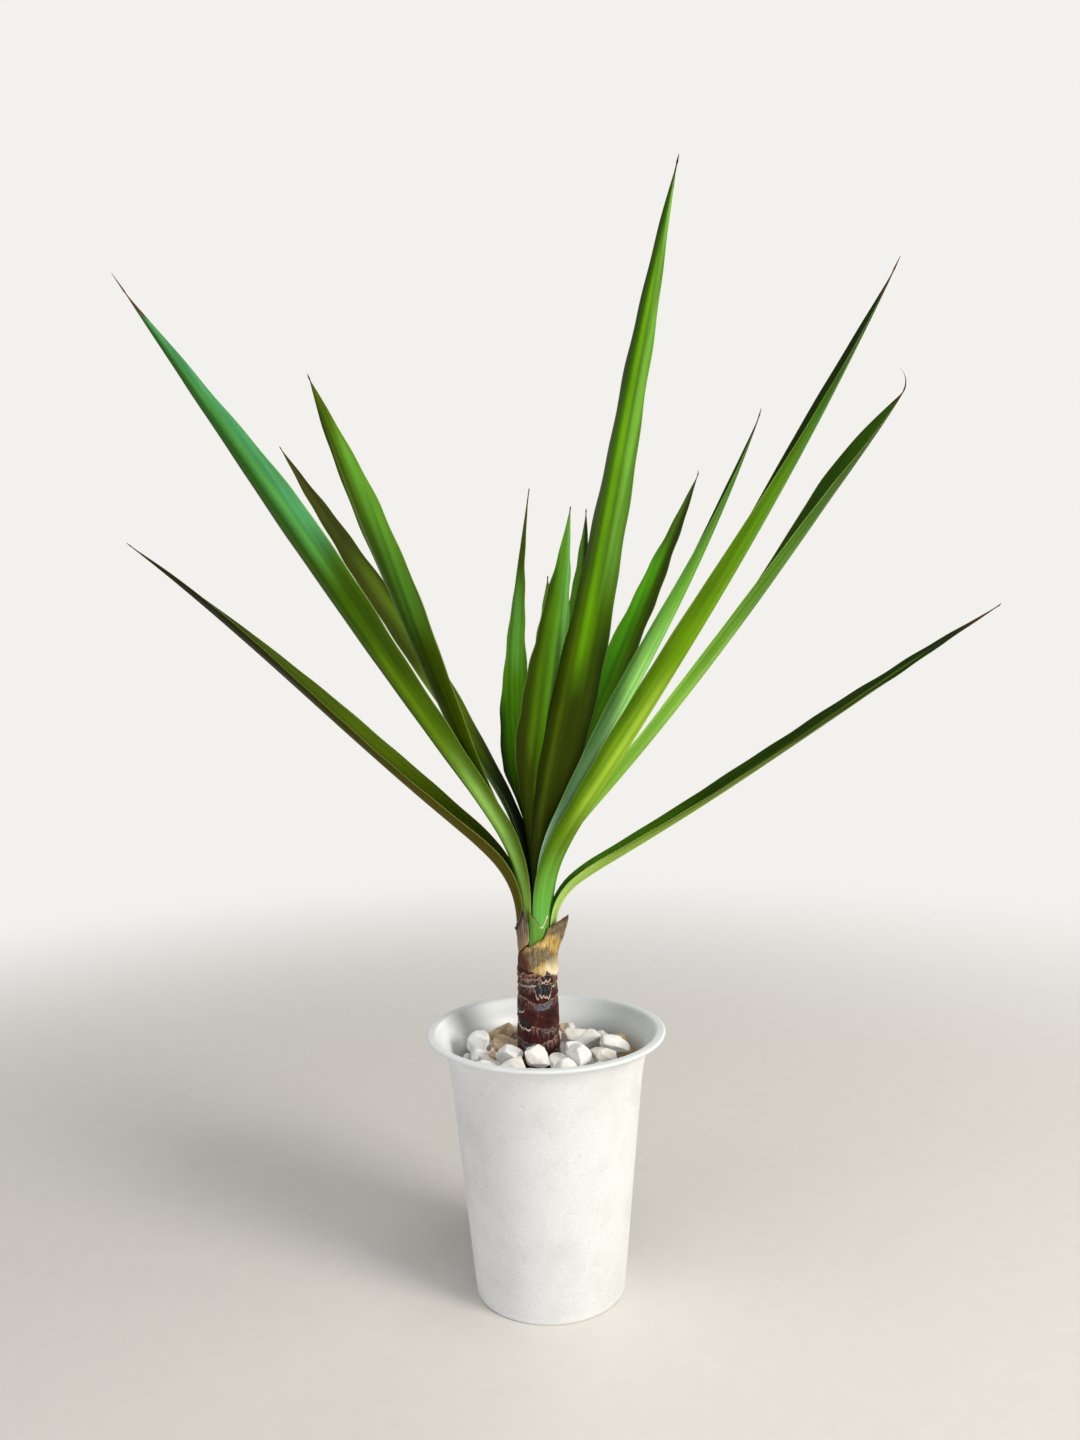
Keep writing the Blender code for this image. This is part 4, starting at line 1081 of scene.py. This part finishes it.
bed = BVHTree.FromPolygons(np.concatenate(bed_points).tolist(), bed_faces)
small_sphere, small_faces = unit_sphere(3)
grit_points, grit_faces, grit_tint = [], [], []
while len(grit_points) < SMALL_CHIPS:
    size = chance.uniform(*SMALL_CHIP_SIZE) / 2.0
    reach = math.sqrt(chance.uniform(0.07, 1.0)) * (pot_outer_radius(SOIL_TOP) - POT_WALL - size - 0.001)
    angle = chance.uniform(0.0, math.tau)
    spot = Vector((reach * math.cos(angle), reach * math.sin(angle), DROP_HEIGHT))
    found = bed.ray_cast(spot, Vector((0.0, 0.0, -1.0)))[0]
    top = max(found.z if found else SOIL_TOP, SOIL_TOP)
    if (spot.xy - Vector((CANE_X, 0.0))).length < CANE_RADIUS + size:
        continue
    if top > SMALL_CHIP_TOP:
        top = chance.uniform(SOIL_TOP, SMALL_CHIP_TOP)
    turn = chance.uniform(0.0, math.tau)
    axis = Vector([chance.gauss(0, 1) for _ in range(3)]).normalized()
    axes = np.array(Matrix.Rotation(turn, 3, axis))
    shape = size * np.array([1.0, chance.uniform(0.7, 0.9), chance.uniform(0.5, 0.75)])
    start = len(grit_points) * len(small_sphere)
    middle = np.array([spot.x, spot.y, top + SMALL_CHIP_RISE * size])
    grit_points.append(middle + chip_points(small_sphere, axes, shape, chance))
    grit_faces += [tuple(start + i for i in face) for face in small_faces]
    grit_tint += [chance.choice(SMALL_CHIP_TINTS)] * len(small_sphere)
grit = make_piece("marble_small_chips", np.concatenate(grit_points), grit_faces, {"tint": grit_tint}, marble)
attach(grit, "root")


# --- Floor, light and camera ----------------------------------------------------------------------
# A pale painted studio floor that runs out into an even backdrop; a broad soft key lamp at the right
# and front, a weaker cool one at the left, one overhead, and a little light from behind.

BACKDROP = "#f3f1ed"
WORLD_GLOW = 0.22
FLOOR_SIZE = 9.0
CAMERA_PLACE = (0.0005, -0.8353, 0.4734)
CAMERA_PITCH = -2.87
CAMERA_ROLL = -1.2
CAMERA_LENS = 28.0


def seen_ray(add):
    """1 for what the camera sees, directly, mirrored or through glass, and 0 for what lights the object."""
    seen = 0.0
    for kind in ("Is Camera Ray", "Is Glossy Ray", "Is Transmission Ray"):
        seen = add("Math", [seen, add("LightPath", out=kind)], operation="MAXIMUM")
    return seen


def painted_floor():
    """Matt pale paint; further out the camera sees the even backdrop instead."""
    material, add = start_material("matt_pale_floor_paint")
    place = add("TexCoord", out="Object")
    fine = add("TexNoise", {"Vector": place, "Scale": 60.0, "Detail": 4.0})
    paint = add("Mix", {0: fine, 6: "#e2dfd9", 7: "#e8e5df"}, **BLENDED)
    matt = add("BsdfPrincipled", {"Base Color": paint, "Roughness": 0.85})
    even = add("Emission", {"Color": BACKDROP, "Strength": 1.0})
    reach = add("VectorMath", [place], out="Value", operation="LENGTH")
    fade = add("MapRange", [reach, 0.45, 1.7], interpolation_type="SMOOTHSTEP")
    fade = add("Math", [fade, seen_ray(add)], operation="MULTIPLY")
    return finish_material(material, add("MixShader", [fade, matt, even]))


floor_mesh = bpy.data.meshes.new("studio_floor")
half = FLOOR_SIZE / 2.0
corners = [(-half, -half, 0.0), (half, -half, 0.0), (half, half, 0.0), (-half, half, 0.0)]
floor_mesh.from_pydata(corners, [], [(0, 1, 2, 3)])
floor_mesh.materials.append(painted_floor())
floor = bpy.data.objects.new("studio_floor", floor_mesh)
bpy.context.scene.collection.objects.link(floor)

world = bpy.data.worlds.new("studio")
bpy.context.scene.world = world
world.use_nodes = True
world.node_tree.nodes.clear()
add = partial(add_node, world.node_tree)
backdrop = add("Background", {"Color": BACKDROP, "Strength": 1.0})
glow = add("Background", {"Color": "#fbfaf8", "Strength": WORLD_GLOW})
add("OutputWorld", {"Surface": add("MixShader", [seen_ray(add), glow, backdrop])})

for name, place, aim, size, power, colour in (
    ("key_lamp", (1.65, -1.25, 1.05), (0.0, 0.0, 0.35), 0.9, 37.0, "#fff9f0"),
    ("fill_lamp", (-1.6, -1.3, 0.5), (0.0, 0.0, 0.35), 1.4, 10.0, "#f6f5ff"),
    ("top_lamp", (0.2, -0.5, 2.1), (0.0, 0.0, 0.30), 1.2, 14.0, "#ffffff"),
    ("back_lamp", (1.2, 1.9, 0.9), (0.0, 0.0, 0.35), 1.2, 8.0, "#ffffff"),
):
    lamp = bpy.data.lights.new(name, "AREA")
    lamp.shape = "DISK"
    lamp.size = size
    lamp.energy = power
    lamp.color = linear(colour)[:3]
    holder = bpy.data.objects.new(name, lamp)
    holder.location = place
    holder.rotation_euler = (Vector(aim) - Vector(place)).to_track_quat("-Z", "Y").to_euler()
    bpy.context.scene.collection.objects.link(holder)

camera_data = bpy.data.cameras.new("camera")
camera_data.lens = CAMERA_LENS
camera_data.sensor_width = 36.0
camera_data.clip_end = 30.0
camera = bpy.data.objects.new("camera", camera_data)
camera.matrix_world = (
    Matrix.Translation(CAMERA_PLACE)
    @ Matrix.Rotation(math.radians(90.0 + CAMERA_PITCH), 4, "X")
    @ Matrix.Rotation(math.radians(CAMERA_ROLL), 4, "Z")
)
bpy.context.scene.collection.objects.link(camera)
bpy.context.scene.camera = camera
bpy.context.scene.view_settings.view_transform = "Standard"
